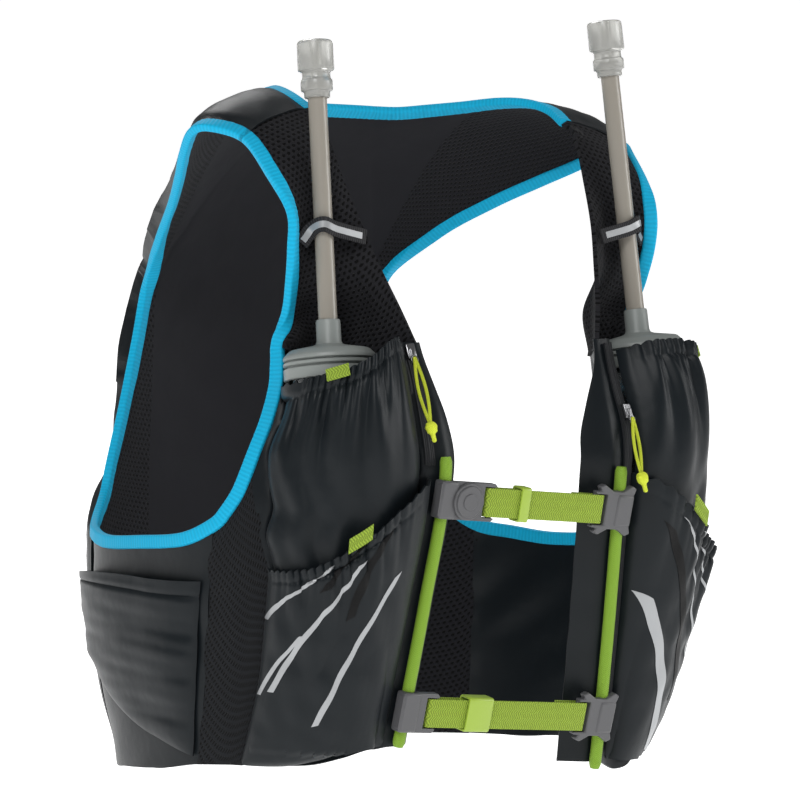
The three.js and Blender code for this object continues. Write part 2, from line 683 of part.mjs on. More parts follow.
const half = backGrid(false);
for (const side of SIDES) {
  const { name, s, strapRows, panelRows, meshGrid, sideGrid } = side;
  const place = (p) => settle(vec(s * p.x, p.y, p.z));
  const list = [];
  const edge = (p, q) => {
    const a = place(p);
    list.push({ p: a, w: place(p.clone().lerp(q, 0.2)).sub(a) });
  };
  for (const row of strapRows) edge(row.at(-1), row.at(-2));
  for (const row of panelRows.slice(1, 5)) edge(row.at(-1), row.at(-2));
  for (const c of [1, 2, 3]) edge(meshGrid[0][c], meshGrid[1][c]);
  for (const c of [1, 2, 3, 4]) edge(sideGrid[0][c], sideGrid[1][c]);
  const last = half[0].length - 1;
  for (const z of [-228, -215, -200, -170, -135]) {
    const angle = z > -224 ? backAngle(curve(ARM_BACK, z), z) : BACK_SEAM;
    const p = form(angle, z);
    edge(p, z > -224 ? form(angle + 3, z) : form(angle + 2, z - 6));
  }
  edge(half[YOKE.length][last], form(backAngle(70, -112), -112));
  for (let i = YOKE.length - 1; i > 0; i -= 1) edge(half[i][last], half[i][last - 1]);
  bind(`armhole_binding_${name}`, list, true, [
    `shoulder_strap_${name}`, `front_panel_${name}`, `side_mesh_${name}`, `side_panel_${name}`,
    'back_panel', 'back_shell',
  ]);
}
const neck = [
  ...half.map((column) => column.map((p) => vec(-p.x, p.y, p.z))),
  ...half.slice(0, -1).reverse(),
].map((column) => {
  const p = settle(column[0].clone());
  return { p, w: settle(column[1].clone()).sub(p) };
});
bind('neck_binding', neck, false, ['back_panel', 'back_shell']);

// Rings of the flask: height, half width, half depth
const FLASK_RINGS = [
  [-147, FLASK_HALF_WIDTH - 3, FLASK_HALF_DEPTH + 1.5],
  [-175, FLASK_HALF_WIDTH, FLASK_HALF_DEPTH],
  [-260, FLASK_HALF_WIDTH, FLASK_HALF_DEPTH - 0.5],
  [-285, FLASK_HALF_WIDTH - 2, 13],
  [FLASK_FOOT, 19, 7],
];

// Flask, its cap with the sleeve, the straw and the bite valve share the straw's line
for (const side of SIDES) {
  const { name, s, raise, valve, wide, out } = side;
  const place = side.straw;
  const cap = [
    [CAP_RADIUS - 2, -31], [CAP_RADIUS, -31], [CAP_RADIUS, -24.6], [CAP_RADIUS - 0.8, -24.2],
    [CAP_RADIUS - 0.8, -22.6], [CAP_RADIUS, -22.2], [CAP_RADIUS, -18.6], [20.5, -15.6],
    [6.4, -12.8], [6.1, 0], [STRAW_RADIUS + FIT, 0], [STRAW_RADIUS + FIT, -15],
    [19.5, -17.8], [CAP_RADIUS - 2, -20.4],
  ];
  add(`flask_cap_${name}`, turned(cap, 12, place), CAP);
  const tubeTop = valve + 7.6;
  const tube = [[STRAW_BORE, -14.4], [STRAW_RADIUS, -14.4], [STRAW_RADIUS, tubeTop], [STRAW_BORE, tubeTop]];
  add(`straw_${name}`, turned(tube, 10, place), CLEAR);
  const top = [
    [STRAW_RADIUS + FIT, 0], [6.7, 0], [6.7, 3], [8.3, 4], [8.3, 9], [7.3, 10], [7.3, 13.4],
    [9.5, 14.4], [9.2, 28.5], [7.6, 29.8], [2.4, 29.8], [2.4, 8.2], [STRAW_RADIUS + FIT, 8.2],
  ];
  add(`bite_valve_${name}`, turned(top.map(([r, h]) => [r, h + valve]), 9, place), CLEAR);

  const rings = (grow) => {
    const list = [];
    const ring = (centre, across, ahead, a, b) => Array.from({ length: 10 }, (_, i) => {
      const t = (i / 10) * 2 * Math.PI;
      const p = centre.clone().addScaledVector(across, (a + grow) * Math.cos(t));
      return p.addScaledVector(ahead, (b + grow) * Math.sin(t));
    });
    list.push(ring(place(0, 0, -21.4), wide, out, 19.6, 19.6));
    list.push(ring(place(0, 0, -33.5), wide, out, 19.6, 19.6));
    for (const [z, a, b] of FLASK_RINGS) {
      const h = z - grow * (z === FLASK_FOOT ? 1 : 0);
      const at = (k) => {
        const p = body(flaskAngle(h), h, FLASK_LIFT + k);
        return settle(vec(s * p.x, p.y, p.z)).add(vec(0, 0, raise * 0.5));
      };
      const along = body(flaskAngle(h) + 1, h).sub(body(flaskAngle(h) - 1, h)).normalize();
      along.x *= s;
      const ahead = at(3).sub(at(0)).normalize();
      list.push(ring(at(0), along, ahead, a, b));
    }
    return list;
  };
  const skin = [...rings(0).reverse(), ...rings(-FLASK_WALL)];
  add(`flask_${name}`, loft(skin), FLASK);
}

// Straw loops, across the strap and over the straw
for (const side of SIDES) {
  const { name, s, straw, strapRows } = side;
  const place = (p) => settle(vec(s * p.x, p.y, p.z));
  const on = (u, lift) => {
    const at = (row) => mixVec(row[Math.floor(u)], row[Math.min(8, Math.ceil(u))], u % 1);
    const upper = strapRows[u > 4 ? 2 : 3];
    const lower = strapRows[u > 4 ? 3 : 4];
    const share = u > 4 ? 0.85 : 0.3;
    const p = at(upper).lerp(at(lower), share);
    const down = at(lower).sub(at(upper)).normalize();
    const across = mixVec(upper.at(-1), lower.at(-1), share).sub(mixVec(upper[0], lower[0], share));
    const out = down.clone().cross(across).normalize();
    if (out.y > 0) out.negate();
    return place(p.addScaledVector(out, lift));
  };
  const offset = (a, b) => side.straw(a, b, 48.5 - Math.abs(a) * 0.4 - side.raise);
  const points = [on(6.15, STRAP_WALL + 1.8), on(5.6, STRAP_WALL + 2.6), offset(5.2, 4.8), offset(0, 6.8),
    offset(-5.2, 4.2), offset(-8.6, -4), on(1, STRAP_WALL + 4), on(0.4, STRAP_WALL + 2.6)];
  const down = side.straw(0, 0, -1).sub(side.straw(0, 0, 0));
  const run = points.map((p, i) => {
    const before = points[Math.max(0, i - 1)];
    const after = points[Math.min(points.length - 1, i + 1)];
    const t = after.clone().sub(before).normalize();
    const w = down.clone().addScaledVector(t, -down.dot(t)).normalize();
    const n = t.clone().cross(w).normalize();
    if (n.y > 0) n.negate();
    return { p, w, n };
  });
  add(`straw_loop_${name}`, band(run, [[-4, 0], [-4, 1.2], [4, 1.2], [4, 0]]), REFLECT);
}

// Rails on the front edges
const RAIL_LIFT = WALL + 0.6 + RAIL_RADIUS;
function railPoint(side, z) {
  const p = body(railAngle(z), z, RAIL_LIFT);
  return settle(vec(side.s * p.x, p.y, p.z));
}
function railRings(side, radius, sides) {
  const count = 7;
  return Array.from({ length: count }, (_, i) => {
    const z = mix(side.railTop, side.railEnd, i / (count - 1));
    const p = railPoint(side, z);
    const t = railPoint(side, z + 2).sub(railPoint(side, z - 2)).normalize();
    const a = vec(1, 0, 0).addScaledVector(t, -t.x).normalize();
    const b = t.clone().cross(a);
    return circle(radius, sides).map(([x, y]) => p.clone().addScaledVector(a, x).addScaledVector(b, y));
  });
}
for (const side of SIDES) add(`rail_${side.name}`, loft(railRings(side, RAIL_RADIUS, 8)), RAIL);

// Front straps: a clip on each rail, webbing between them and a keeper
function ribbon(path, thick) {
  const left = [];
  const right = [];
  path.forEach(([x, y], i) => {
    const [px, py] = path[Math.max(0, i - 1)];
    const [nx, ny] = path[Math.min(path.length - 1, i + 1)];
    const unit = (dx, dy) => [dx / Math.hypot(dx, dy), dy / Math.hypot(dx, dy)];
    const u = i > 0 ? unit(x - px, y - py) : unit(nx - x, ny - y);
    const v = i < path.length - 1 ? unit(nx - x, ny - y) : u;
    const m = unit(-(u[1] + v[1]), u[0] + v[0]);
    const reach = thick / 2 / Math.max(0.3, m[0] * -u[1] + m[1] * u[0]);
    left.push([x + m[0] * reach, y + m[1] * reach]);
    right.push([x - m[0] * reach, y - m[1] * reach]);
  });
  return [...left, ...right.reverse()];
}

function clip(place, side, reach, high, cross) {
  const saddle = block(-5.6, 5.6, -2.4, 5.4, -high, high, place);
  const outline = cross
    ? [
      [-5.4, 8.4], [-6.6, 12], [-3.5, 13.4], [2, 10.2], [reach - 11, 10.2],
      [reach - 5, 13.4], [reach - 2, 12], [reach - 3.6, 9.8], [reach, 9.6],
    ]
    : [[-6, high - 2], [-4, high], [reach - 1.5, high], [reach, high - 1.5]];
  const mirrored = outline.map(([a, c]) => [a, -c]).reverse();
  let hard = plate([...outline, ...mirrored], 0.6, 4.8, place).add(saddle);
  hard = hard.subtract(block(reach - 8, reach + 1, -4, 8, -8.1, 8.1, place));
  hard = hard.add(block(reach - 3, reach, 0.9, 3.1, -8.6, 8.6, place));
  return hard.subtract(loft(railRings(side, RAIL_RADIUS + 0.5, 8)));
}

// Front straps: name, reach and half height of the near clip, ends of the keeper
const FRONT_STRAPS = [['upper', 30.5, 9.8, [46, 52]], ['lower', 18, 10.5, [37, 53]]];

for (const [level, reach, halfHigh, keeper] of FRONT_STRAPS) {
  const ends = SIDES.map((side) => railPoint(side, side[level]));
  const across = ends[1].clone().sub(ends[0]);
  const length = across.length();
  across.normalize();
  const frames = SIDES.map((side, i) => {
    const e1 = i === 0 ? across.clone() : across.clone().negate();
    const rail = railPoint(side, side[level] + 6).sub(railPoint(side, side[level] - 6)).normalize();
    const e3 = rail.addScaledVector(e1, -rail.dot(e1)).normalize();
    const e2 = e3.clone().cross(e1).normalize();
    if (e2.y > 0) e2.negate();
    return (a, b, c) => ends[i].clone().addScaledVector(e1, a).addScaledVector(e2, b).addScaledVector(e3, c);
  });
  const [right, left] = frames;
  let first = clip(right, SIDES[0], reach, halfHigh, false);
  if (level === 'upper') {
    const disc = (radius, low, high) => plate(circle(radius, 12, 12), low, high, right);
    first = first.add(disc(9.6, 4.5, 7.4));
  }
  add(level === 'upper' ? 'upper_buckle' : 'lower_hook', first, HARDWARE);
  const farReach = 20;
  add(`${level}_slider`, clip(left, SIDES[1], farReach, 8.6, true), HARDWARE);
  const near = reach - 5.4;
  const far = length - (farReach - 5.4);
  const path = [
    [near + 22, -0.25], [near + 0.7, -0.25], [near, 0.45], [near, 3.55], [near + 0.7, 4.25],
    [far - 0.7, 4.25], [far, 3.55], [far, 0.45], [far - 0.7, -0.25], [far - 18, -0.25],
  ];
  const lay = (a, c, b) => right(a, b, c);
  const strip = plate(ribbon(path, WEBBING_THICK), -WEBBING_WIDTH / 2, WEBBING_WIDTH / 2, lay);
  add(`${level}_webbing`, strip, LIME);
  const [k0, k1] = keeper;
  const hole = block(k0 - 1, k1 + 1, -1.3, 5.3, -7.9, 7.9, right);
  add(`${level}_keeper`, block(k0, k1, -2.5, 6.4, -9.2, 9.2, right).subtract(hole), LIME);
}

// Tabs on the pocket hems, zip sliders and their cords
for (const side of SIDES) {
  const { name, s, set } = side;
  const tab = (angle, hemAt, lift, rows, gap = 0) => {
    const row = (up) => [-4.6, 0, 4.6].map((d) => {
      const a = along(angle, hemAt(angle), d);
      return body(a, hemAt(a) + up, lift(a, hemAt(a)));
    });
    return cloth(set(rows.map(row), gap), 1.1);
  };
  const upperHem = (a) => curve(side.hem, a);
  const upperLift = (a, z) => {
    const depth = curve(DEPTH, z) * bulge(a, z, pocketStart(z), pocketEnd(z));
    return WALL + LAYER_GAP + depth + 1 + (s > 0 ? 1.7 : 0.8);
  };
  add(`upper_tab_${name}`, tab(side.upperTab, upperHem, upperLift, [1.2, -1.4, -4.2], 3.4), LIME);
  const lowerHem = (a) => {
    const share = (a - 17 - side.lowerStart) / (44 - side.lowerStart);
    return curve(HEM_LOWER, mix(18.5, 57, share));
  };
  const lowerLift = (a, z) => {
    const start = edgeAngle(z) + side.lowerStart;
    const end = along(meshFront(z), z, -1.2);
    const depth = (curve(DEPTH, z) + 9.4) * bulge(a, z, start, end);
    return WALL + LAYER_GAP + depth + 1 + (s > 0 ? 0.6 : 0.3);
  };
  add(`lower_tab_${name}`, tab(side.lowerTab, lowerHem, lowerLift, [6, 2.4, -1.6]), LIME);

  const surface = WALL + 0.8 + 1.1 + 0.5;
  const at = (k, z, lift) => {
    const p = body(zipStart(z) + 1.4 + k, z, lift);
    return settle(vec(s * p.x, p.y, p.z));
  };
  const z0 = side.slider;
  const origin = at(0, z0, surface);
  const out = at(0, z0, surface + 5).sub(origin).normalize();
  const down = at(0, z0 - 5, surface).sub(origin);
  down.addScaledVector(out, -down.dot(out)).normalize();
  const across = down.clone().cross(out);
  const frame = (a, b, c) => {
    const p = origin.clone().addScaledVector(across, a).addScaledVector(out, b);
    return p.addScaledVector(down, c);
  };
  const bridge = block(-1.3, 1.3, 1.8, 3.4, -1, 3.4, frame);
  add(`zip_slider_${name}`, block(-2.6, 2.6, 0, 2.2, -4, 4, frame).add(bridge), METAL);
  const [low, ahead, end] = side.cord;
  const strand = (shift) => {
    const count = 4;
    const centre = (t) => {
      const bow = shift * Math.sin(Math.PI * t) * 2.2;
      return frame(bow + low * t, mix(3.4, ahead, t), mix(4.4, end + 1, t));
    };
    const rings = Array.from({ length: count }, (_, i) => {
      const t = i / (count - 1);
      const p = centre(t);
      const dir = centre(t + 0.05).sub(centre(t - 0.05)).normalize();
      const a = across.clone().addScaledVector(dir, -across.dot(dir)).normalize();
      const b = dir.clone().cross(a);
      return circle(0.9, 4).map(([x, y]) => p.clone().addScaledVector(a, x).addScaledVector(b, y));
    });
    return loft(rings);
  };
  const ring = (radius, h) => circle(radius, 6).map(([x, y]) => frame(low + x, ahead + y, end + h));
  const knot = loft([ring(2.2, 0), ring(3, 1.6), ring(2.8, 4.6), ring(1.1, 6), ring(1.1, 10.4)]);
  add(`zip_pull_${name}`, strand(1).add(strand(-1)).add(knot), YELLOW);
}

for (const [name, { manifold, look }] of Object.entries(solids)) {
  const { vertProperties, triVerts, numProp } = manifold.getMesh();
  const geometry = new THREE.BufferGeometry();
  const positions = new Float32Array(triVerts.length * 3);
  for (let i = 0; i < triVerts.length; i += 1) {
    for (let k = 0; k < 3; k += 1) positions[i * 3 + k] = vertProperties[triVerts[i] * numProp + k];
  }
  geometry.setAttribute('position', new THREE.BufferAttribute(positions, 3));
  geometry.computeVertexNormals();
  const mesh = new THREE.Mesh(geometry, new THREE.MeshStandardMaterial(look));
  mesh.name = name;
  group.add(mesh);
}

export default group;
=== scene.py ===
"""Looks of a running hydration vest: cloth, bindings, flasks, straws, rails, straps and trims."""
import math
from functools import lru_cache
import bmesh
import bpy
import numpy as np
from mathutils import Matrix, Vector, geometry


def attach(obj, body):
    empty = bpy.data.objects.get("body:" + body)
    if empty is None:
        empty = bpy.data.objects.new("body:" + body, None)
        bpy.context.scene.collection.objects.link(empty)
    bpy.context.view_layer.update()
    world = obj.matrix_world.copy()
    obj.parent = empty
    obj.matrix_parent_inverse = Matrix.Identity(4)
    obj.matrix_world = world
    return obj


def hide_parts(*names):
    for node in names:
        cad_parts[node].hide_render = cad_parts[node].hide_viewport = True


bl_info = {
    "name": "Running hydration vest",
    "version": (1, 0, 0),
    "blender": (4, 5, 0),
    "location": "View3D > Sidebar > Vest",
    "description": "Dresses the packed vest with cloth, trims and a stage",
    "category": "Object",
}

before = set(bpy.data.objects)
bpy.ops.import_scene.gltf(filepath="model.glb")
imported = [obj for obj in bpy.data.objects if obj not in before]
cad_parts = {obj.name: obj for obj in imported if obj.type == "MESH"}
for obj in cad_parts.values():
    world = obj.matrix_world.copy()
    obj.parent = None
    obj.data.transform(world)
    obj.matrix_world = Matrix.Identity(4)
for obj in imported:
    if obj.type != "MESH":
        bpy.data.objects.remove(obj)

# Millimetres in a metre
MM = 1000
# Millimetres of cloth in one unit of the UV map
UV_STEP = 100

# Sizes of the part, in millimetres
WALL = 1.2
STRAP_WALL = 2.4
LAYER_GAP = 0.8
BINDING_IN = 4.4
BINDING_OUT = 2.8
BINDING_BACK = 1.0
BINDING_FRONT = 3.6
POCKET_DEPTH = 18.0
POCKET_SINK = 24.0
CAP_RADIUS = 24.0
STRAW_RADIUS = 4.9
STRAW_BORE = 3.3
FIT = 0.3
RAIL_RADIUS = 3.2
WEBBING_WIDTH = 15.0
WEBBING_THICK = 1.3
SAG = 20.0
BACK_SEAM = 128.5
FRONT_POWER = 2.5
RAIL_LIFT = WALL + 0.6 + RAIL_RADIUS
ZIP_LIFT = WALL + 0.8
ZIP_THICK = 1.1
ZIP_WIDE = 2.2
TAB_HALF = 4.6
TAB_THICK = 1.1
POUCH_THICK = 1.0
STRIPE_THICK = 0.16
STRIPE_LIFT = 1.12
KEEPER_THICK = 1.2
LINING_HOLES = 72
PLEAT = 4.1

# Heights of the seams and the lowest points of the fronts, in millimetres
PANEL_TOP = -113.4
PANEL_FOOT = -326
STRAP_FOOT = -112.4
POUCH_FOOT = -309
ZIP_TOP = -116
YOKE_FOOT = -105

# Width and height of the cloth of the upper and lower pockets, in millimetres, for their pleats
UPPER_CLOTH = (78, 175)
LOWER_CLOTH = (88, 125)
# Points down and across in the grids of these pockets
POCKET_STEPS = (84, 170)

# Body form: height, half width, front depth, back depth, power at the back
FORM = [
    (6, 128, 0.5, 78, 1.1), (0, 138, 14, 82, 1.1), (-14, 144, 32, 90, 1.3), (-50, 148, 58, 110, 1.75),
    (-110, 150, 88, 139, 2.8), (-175, 152, 118, 141, 2.5), (-245, 152, 113, 134, 2.8),
    (-290, 151, 109, 130, 2.7), (-345, 148, 104, 124, 2.15), (-365, 147, 102, 122, 2),
]
# Height and inset beside the flask
INSET = [(-100, 18), (-113, 17.5), (-134, 16.2), (-150, 13), (-172, 7.5), (-206, 1.5), (-235, 0), (-260, 0)]
# Angle and hem height
HEM = [(0, -318), (24, -320), (35, -327), (45, -331), (63, -333), (76, -336), (90, -343), (103, -348),
       (120, -352), (150, -354), (180, -354)]
# Height and angle of the front edge and the side seams
FRONT_EDGE = [(-113, 17.7), (-150, 16.8), (-176, 16.4), (-243, 18.2), (-319, 21.2), (-360, 23)]
MESH_FRONT = [(-113, 54.8), (-134, 58.8), (-150, 62), (-172, 66), (-206, 61.5), (-235, 57), (-277, 57.5),
              (-345, 63.5)]
MESH_BACK = [(-205, 75.2), (-270, 74.6), (-345, 76)]
# Angle and height of the armhole's lower edge
ARM_LOW = [(66, -172), (69, -192), (72, -203.5), (75.2, -210.5), (84, -220), (94, -226.5), (106, -231),
           (118, -230.5), (128.5, -228)]
# Height and distance from the centre of the armhole's back edge
ARM_BACK = [(-105, 79), (-125, 82), (-150, 89), (-175, 98), (-200, 107.5), (-223, 116)]
# Rows of the shoulder strap: inner edge, outer edge, bulge
STRAP = [
    ((84, -17, -3), (126, -21, -18), 3), ((83, -30, -14), (122.5, -39, -33), 2),
    ((80, -43, -35), (119.5, -53, -50), -4.5), ((75.5, -56, -56), (118.5, -54, -67), -7),
    ((70, -67, -76), (116, -51, -84), -8), ((64, -78, -96), (114.5, -47, -100), -17),
]
# Columns of the yoke: neck edge, armhole edge
YOKE = [
    ((84, -17, -3), (126, -21, -18)), ((85.5, -3, 2.5), (135, -4, -14)), ((83, 13, 5), (137, 9, -17)),
    ((76, 30, 4), (130, 26, -28)), ((65, 49, 0), (119, 45, -40)), ((53, 62, -3), (106, 69, -55)),
    ((40, 71, -5.5), (92, 99, -75)),
]
# Columns near the centre: neck x, y, z and the x of the lower end
YOKE_MIDDLE = [(30, 77, -6, 79), (26, 78.3, -6, 71), (19, 80.3, -6, 50), (10, 81.6, -6, 25), (0, 82, -6, 0)]
# Height and angle of the flask's middle
SINK_ANGLE = [(-113, 39.5), (-175, 40.2), (-235, 40.2), (-330, 43)]
# Height and depth of the recess behind the flask
SINK = [(-100, 27), (-113, POCKET_SINK + 5.5), (-136, POCKET_SINK + 6), (-155, POCKET_SINK + 2.5),
        (-175, POCKET_SINK + 1), (-290, POCKET_SINK), (-312, 10), (-330, 0)]
# Height and depth of the upper pocket ahead of the flask
DEPTH = [(-100, POCKET_DEPTH + 6), (-134, POCKET_DEPTH + 5), (-175, POCKET_DEPTH),
         (-240, POCKET_DEPTH - 1.5), (-285, POCKET_DEPTH - 4), (-306, 10), (-330, 2.4)]
# Angle and height of the lower pocket's hem
HEM_LOWER = [(16, -178), (20, -181), (25, -191), (31, -204), (38, -216), (47, -225), (58, -229)]
# Heights of the rows of the side mesh, the side panel and the back, from the armhole down to the hem
MESH_ROWS = [-172, -206, -235, -270, -302, -333]
MESH_BACK_ROWS = [-210.5, -232, -256, -283, -311, -336]
SIDE_BACK_ROWS = [-228, -246, -271, -299, -327, -353.5]
SIDE_ANGLES = [75.2, 84, 94, 106, 118, 128.5]
POCKET_ANGLES = [77, 84, 94, 106, 117, 126.5]
BACK_ROWS = [-105, -135, -170, -200, -228, -271, -312, -340, -353.5]
# Angle and height of the side pocket's mouth and foot
MOUTH = [(76, -240), (90, -243), (105, -247), (121, -252), (129, -254)]
FOOT = [(76, -332), (89.5, -325), (107, -309), (121.5, -287), (127.5, -268)]

# What differs between the sides: heights and angles in the tables above, and the hem of the upper pocket
SIDES = {
    "right": dict(
        name="right", s=-1, lift=0, valve=114.5, zip_end=-173, lower_start=5, placket=6, rail_top=-169,
        rail_end=-319, upper=-189.5, lower=-300, slider=-119, upper_tab=41, lower_tab=37, cord=(1.5, 5, 41),
        hem=[(20, -113), (23, -114.5), (27, -118), (34, -128.5), (40, -134), (50, -135.5), (60, -134)]),
    "left": dict(
        name="left", s=1, lift=3, valve=125, zip_end=-298, lower_start=6.2, placket=15, rail_top=-175,
        rail_end=-322, upper=-196, lower=-297, slider=-150, upper_tab=46, lower_tab=33, cord=(5, 3, 35),
        hem=[(20, -120), (23, -121), (27, -121.5), (34, -123), (40, -125), (50, -129), (60, -131)]),
}

# Stripes on the lower pockets: start with the bow and end, as shares across and down, then width and look
STRIPES = {
    "right": [
        ((0.55, 0.06, 0.05), (0.97, 0.34), 4, "reflective_tape"),
        ((0.38, 0.16, 0.05), (0.87, 0.68), 4, "reflective_tape"),
        ((0.17, 0.36, 0.04), (0.52, 0.84), 4, "reflective_tape"),
        ((0.34, 0.04, 0.04), (0.6, 0.2), 5, "dark_tape"),
        ((0.24, 0.1, 0.04), (0.42, 0.42), 5, "dark_tape"),
        ((0.7, 0.42, 0.03), (0.96, 0.7), 3, "reflective_tape"),
    ],
    "left": [
        ((0.06, 0.5, 0.05), (0.34, 0.97), 8, "reflective_tape"),
        ((0.2, 0.1, 0.05), (0.62, 0.62), 2, "reflective_tape"),
        ((0.34, 0.06, 0.05), (0.76, 0.55), 2, "reflective_tape"),
        ((0.12, 0.2, 0.05), (0.5, 0.8), 6, "dark_tape"),
    ],
}

# Camera: direction and roll in degrees, distance and height of its aim in metres, lens in millimetres
CAMERA = dict(azimuth=-37, elevation=6, roll=3, distance=3, aim=-0.154, lens=253.8, shift=-0.005)
# Half size, height and glow of the floor
FLOOR = (60, -0.41, 0.88)
# Lights: name, place, size, power and aim
LIGHTS = (
    ("key", (-1.9, -1.5, 1.9), 1.3, 48, (0, 0, -0.12)),
    ("fill", (2.3, -1.6, 0.7), 1.2, 26, (0, 0, -0.15)),
    ("rim", (0.6, 2.2, 1.8), 1.2, 30, (0, 0, -0.1)),
)
# Brightness of the world for the other rays, and what the camera sees more
WORLD = (0.16, 0.84)


def mix(a, b, t):
    return a + (b - a) * t


def ease(t):
    t = np.clip(t, 0, 1)
    return t * t * (3 - 2 * t)


def unit(v):
    return v / np.maximum(np.linalg.norm(v, axis=-1, keepdims=True), 1e-9)


def vec(*v):
    return np.array(v, float)


def curve(table, x, column=1):
    """Value of a table at x, through its points without overshoot."""
    rows = sorted(table, key=lambda row: row[0])
    xs = np.array([row[0] for row in rows], float)
    ys = np.array([row[column] for row in rows], float)
    x = np.clip(np.asarray(x, float), xs[0], xs[-1])
    h = np.diff(xs)
    slope = np.diff(ys) / h
    bend = np.concatenate([slope[:1], np.zeros(len(xs) - 2), slope[-1:]])
    a, b = slope[:-1], slope[1:]
    bend[1:-1] = np.where(a * b > 0, 2 * a * b / np.where(a * b > 0, a + b, 1), 0)
    k = np.clip(np.searchsorted(xs, x, side="left") - 1, 0, len(h) - 1)
    t = (x - xs[k]) / h[k]
    return ((2 * t**3 - 3 * t**2 + 1) * ys[k] + (t**3 - 2 * t**2 + t) * h[k] * bend[k]
            + (3 * t**2 - 2 * t**3) * ys[k + 1] + (t**3 - t**2) * h[k] * bend[k + 1])


def form(angle, z, lift=0.0):
    """A point of the body form; lift is measured along its normal."""
    angle, z, lift = np.broadcast_arrays(*(np.asarray(value, float) for value in (angle, z, lift)))

    def at(a, h):
        s, c = np.sin(np.radians(a)), np.cos(np.radians(a))
        power = np.where(c > 0, FRONT_POWER, curve(FORM, h, 4))
        depth = np.where(c > 0, curve(FORM, h, 2), curve(FORM, h, 3))
        x = curve(FORM, h, 1) * np.sign(s) * np.abs(s) ** (2 / power)
        return np.stack([x, -depth * np.sign(c) * np.abs(c) ** (2 / power), h + 0 * x], -1)

    across = at(angle + 1, z) - at(angle - 1, z)
    down = at(angle, z - 2) - at(angle, z + 2)
    return at(angle, z) + unit(np.cross(down, across)) * lift[..., None]


def body(angle, z, lift=0.0):
    return form(angle, z, lift - curve(INSET, z) * ease((np.asarray(angle) - 36) / 20))


def back_angle(x, z):
    share = np.clip(np.asarray(x) / curve(FORM, z, 1), 0, 1)
    return 180 - np.degrees(np.arcsin(share ** (curve(FORM, z, 4) / 2)))


def settle(points):
    """The left front corner hangs lower and closer to the body."""
    p = np.array(points, float)
    x, y, z = p[..., 0], p[..., 1], p[..., 2]
    z = z - 0.03 * x * ease((z + 70) / 60)
    z = z - 9 * ease((x - 60) / 50) * ease((20 + y) / 50) * ease((-150 - z) / 60) * ease((325 + z) / 60)
    front = ease((-15 - y) / 50) * ease((140 - x) / 50) * ease((x + 10) / 40)
    low = np.clip((-110 - z) / 230, 0, 1) ** 2
    inward = ease((40 - y) / 60) * ease(x / 60)
    x = x - 4.5 * ease((105 - x) / 45) * ease((-60 - y) / 30) * ease((x - 15) / 30) * ease((-105 - z) / 40)
    share = 1 - 0.06 * inward * low
    return np.stack([x * share, y * share, z - SAG * front * low], -1)


def flip(points, s):
    return np.asarray(points, float) * vec(s, 1, 1)


def edge_angle(z):
    return curve(FRONT_EDGE, z)


def mesh_front(z):
    return curve(MESH_FRONT, z)


def hem(angle):
    return curve(HEM, np.abs(angle))


def along(angle, z, distance):
    step = np.linalg.norm(form(angle, z) - form(np.asarray(angle) + 0.5, z), axis=-1)
    return angle + 0.5 * distance / step


def bulge(angle, z, start, end):
    centre = curve(SINK_ANGLE, z)
    share = np.where(angle < centre, (centre - angle) / (centre - start), (angle - centre) / (end - centre))
    return np.maximum(0, 1 - np.minimum(1, share) ** 2.2) ** 0.5


def zip_start(z):
    return edge_angle(z) + mix(1.9, 3.4, ease((-116 - np.asarray(z)) / 44))


def pocket_start(z):
    return zip_start(z) + 4


def pocket_end(z):
    return along(mesh_front(z), z, mix(-4, -11.8, ease((np.asarray(z) + 215) / 20)))


def sink(angle, z):
    return curve(SINK, z) * bulge(angle, z, pocket_start(z) - 1.2, pocket_end(z) + 1)


def straw_frame(side):
    """Base, across, ahead and up of the straw's line."""
    s = side["s"]
    base = vec(s * 101, -66, -103 + side["lift"])
    up = unit(vec(s * -5, 30, 136))
    wide = vec(s * 0.8, 0.6, 0)
    wide = unit(wide - up * wide.dot(up))
    out = unit(np.cross(wide, up))
    return base, wide, (-out if out[1] > 0 else out), up


def straw_point(side, x, y, h):
    base, wide, out, up = straw_frame(side)
    return base + wide * x + out * y + up * h


def clear_cap(side, points, gap):
    """Keeps cloth out of the room of the flask's cap."""
    base, _, _, up = straw_frame(side)
    h = (points - base) @ up
    axis = base + up * h[..., None]
    radial = points - axis
    size = np.linalg.norm(radial, axis=-1)
    need = (CAP_RADIUS + gap) * ease((h + 52) / 14) * ease((-5 - h) / 8)
    return np.where((size < need)[..., None], axis + unit(radial) * need[..., None], points)


def place(side, grid, gap=0.0):
    q = settle(flip(grid, side["s"]))
    return clear_cap(side, q, gap) if gap else q


def spline(points, count, closed=False):
    """Catmull-Rom through the first axis of an array, count steps to a stretch."""
    p = np.asarray(points, float)
    if closed:
        p = np.concatenate([p[-1:], p, p[:2]])
    else:
        p = np.concatenate([2 * p[:1] - p[1:2], p, 2 * p[-1:] - p[-2:-1]])
    out = []
    t = np.arange(count).reshape((-1,) + (1,) * (p.ndim - 1)) / count
    for i in range(len(p) - 3):
        a, b, c, d = p[i], p[i + 1], p[i + 2], p[i + 3]
        square = (2 * a - 5 * b + 4 * c - d) * t**2
        out.append(0.5 * (2 * b + (c - a) * t + square + (3 * b - a - 3 * c + d) * t**3))
    if not closed:
        out.append(p[-2:-1])
    return np.concatenate(out)


def refine(grid, rows, columns):
    g = spline(grid, rows)
    return np.swapaxes(spline(np.swapaxes(g, 0, 1), columns), 0, 1)


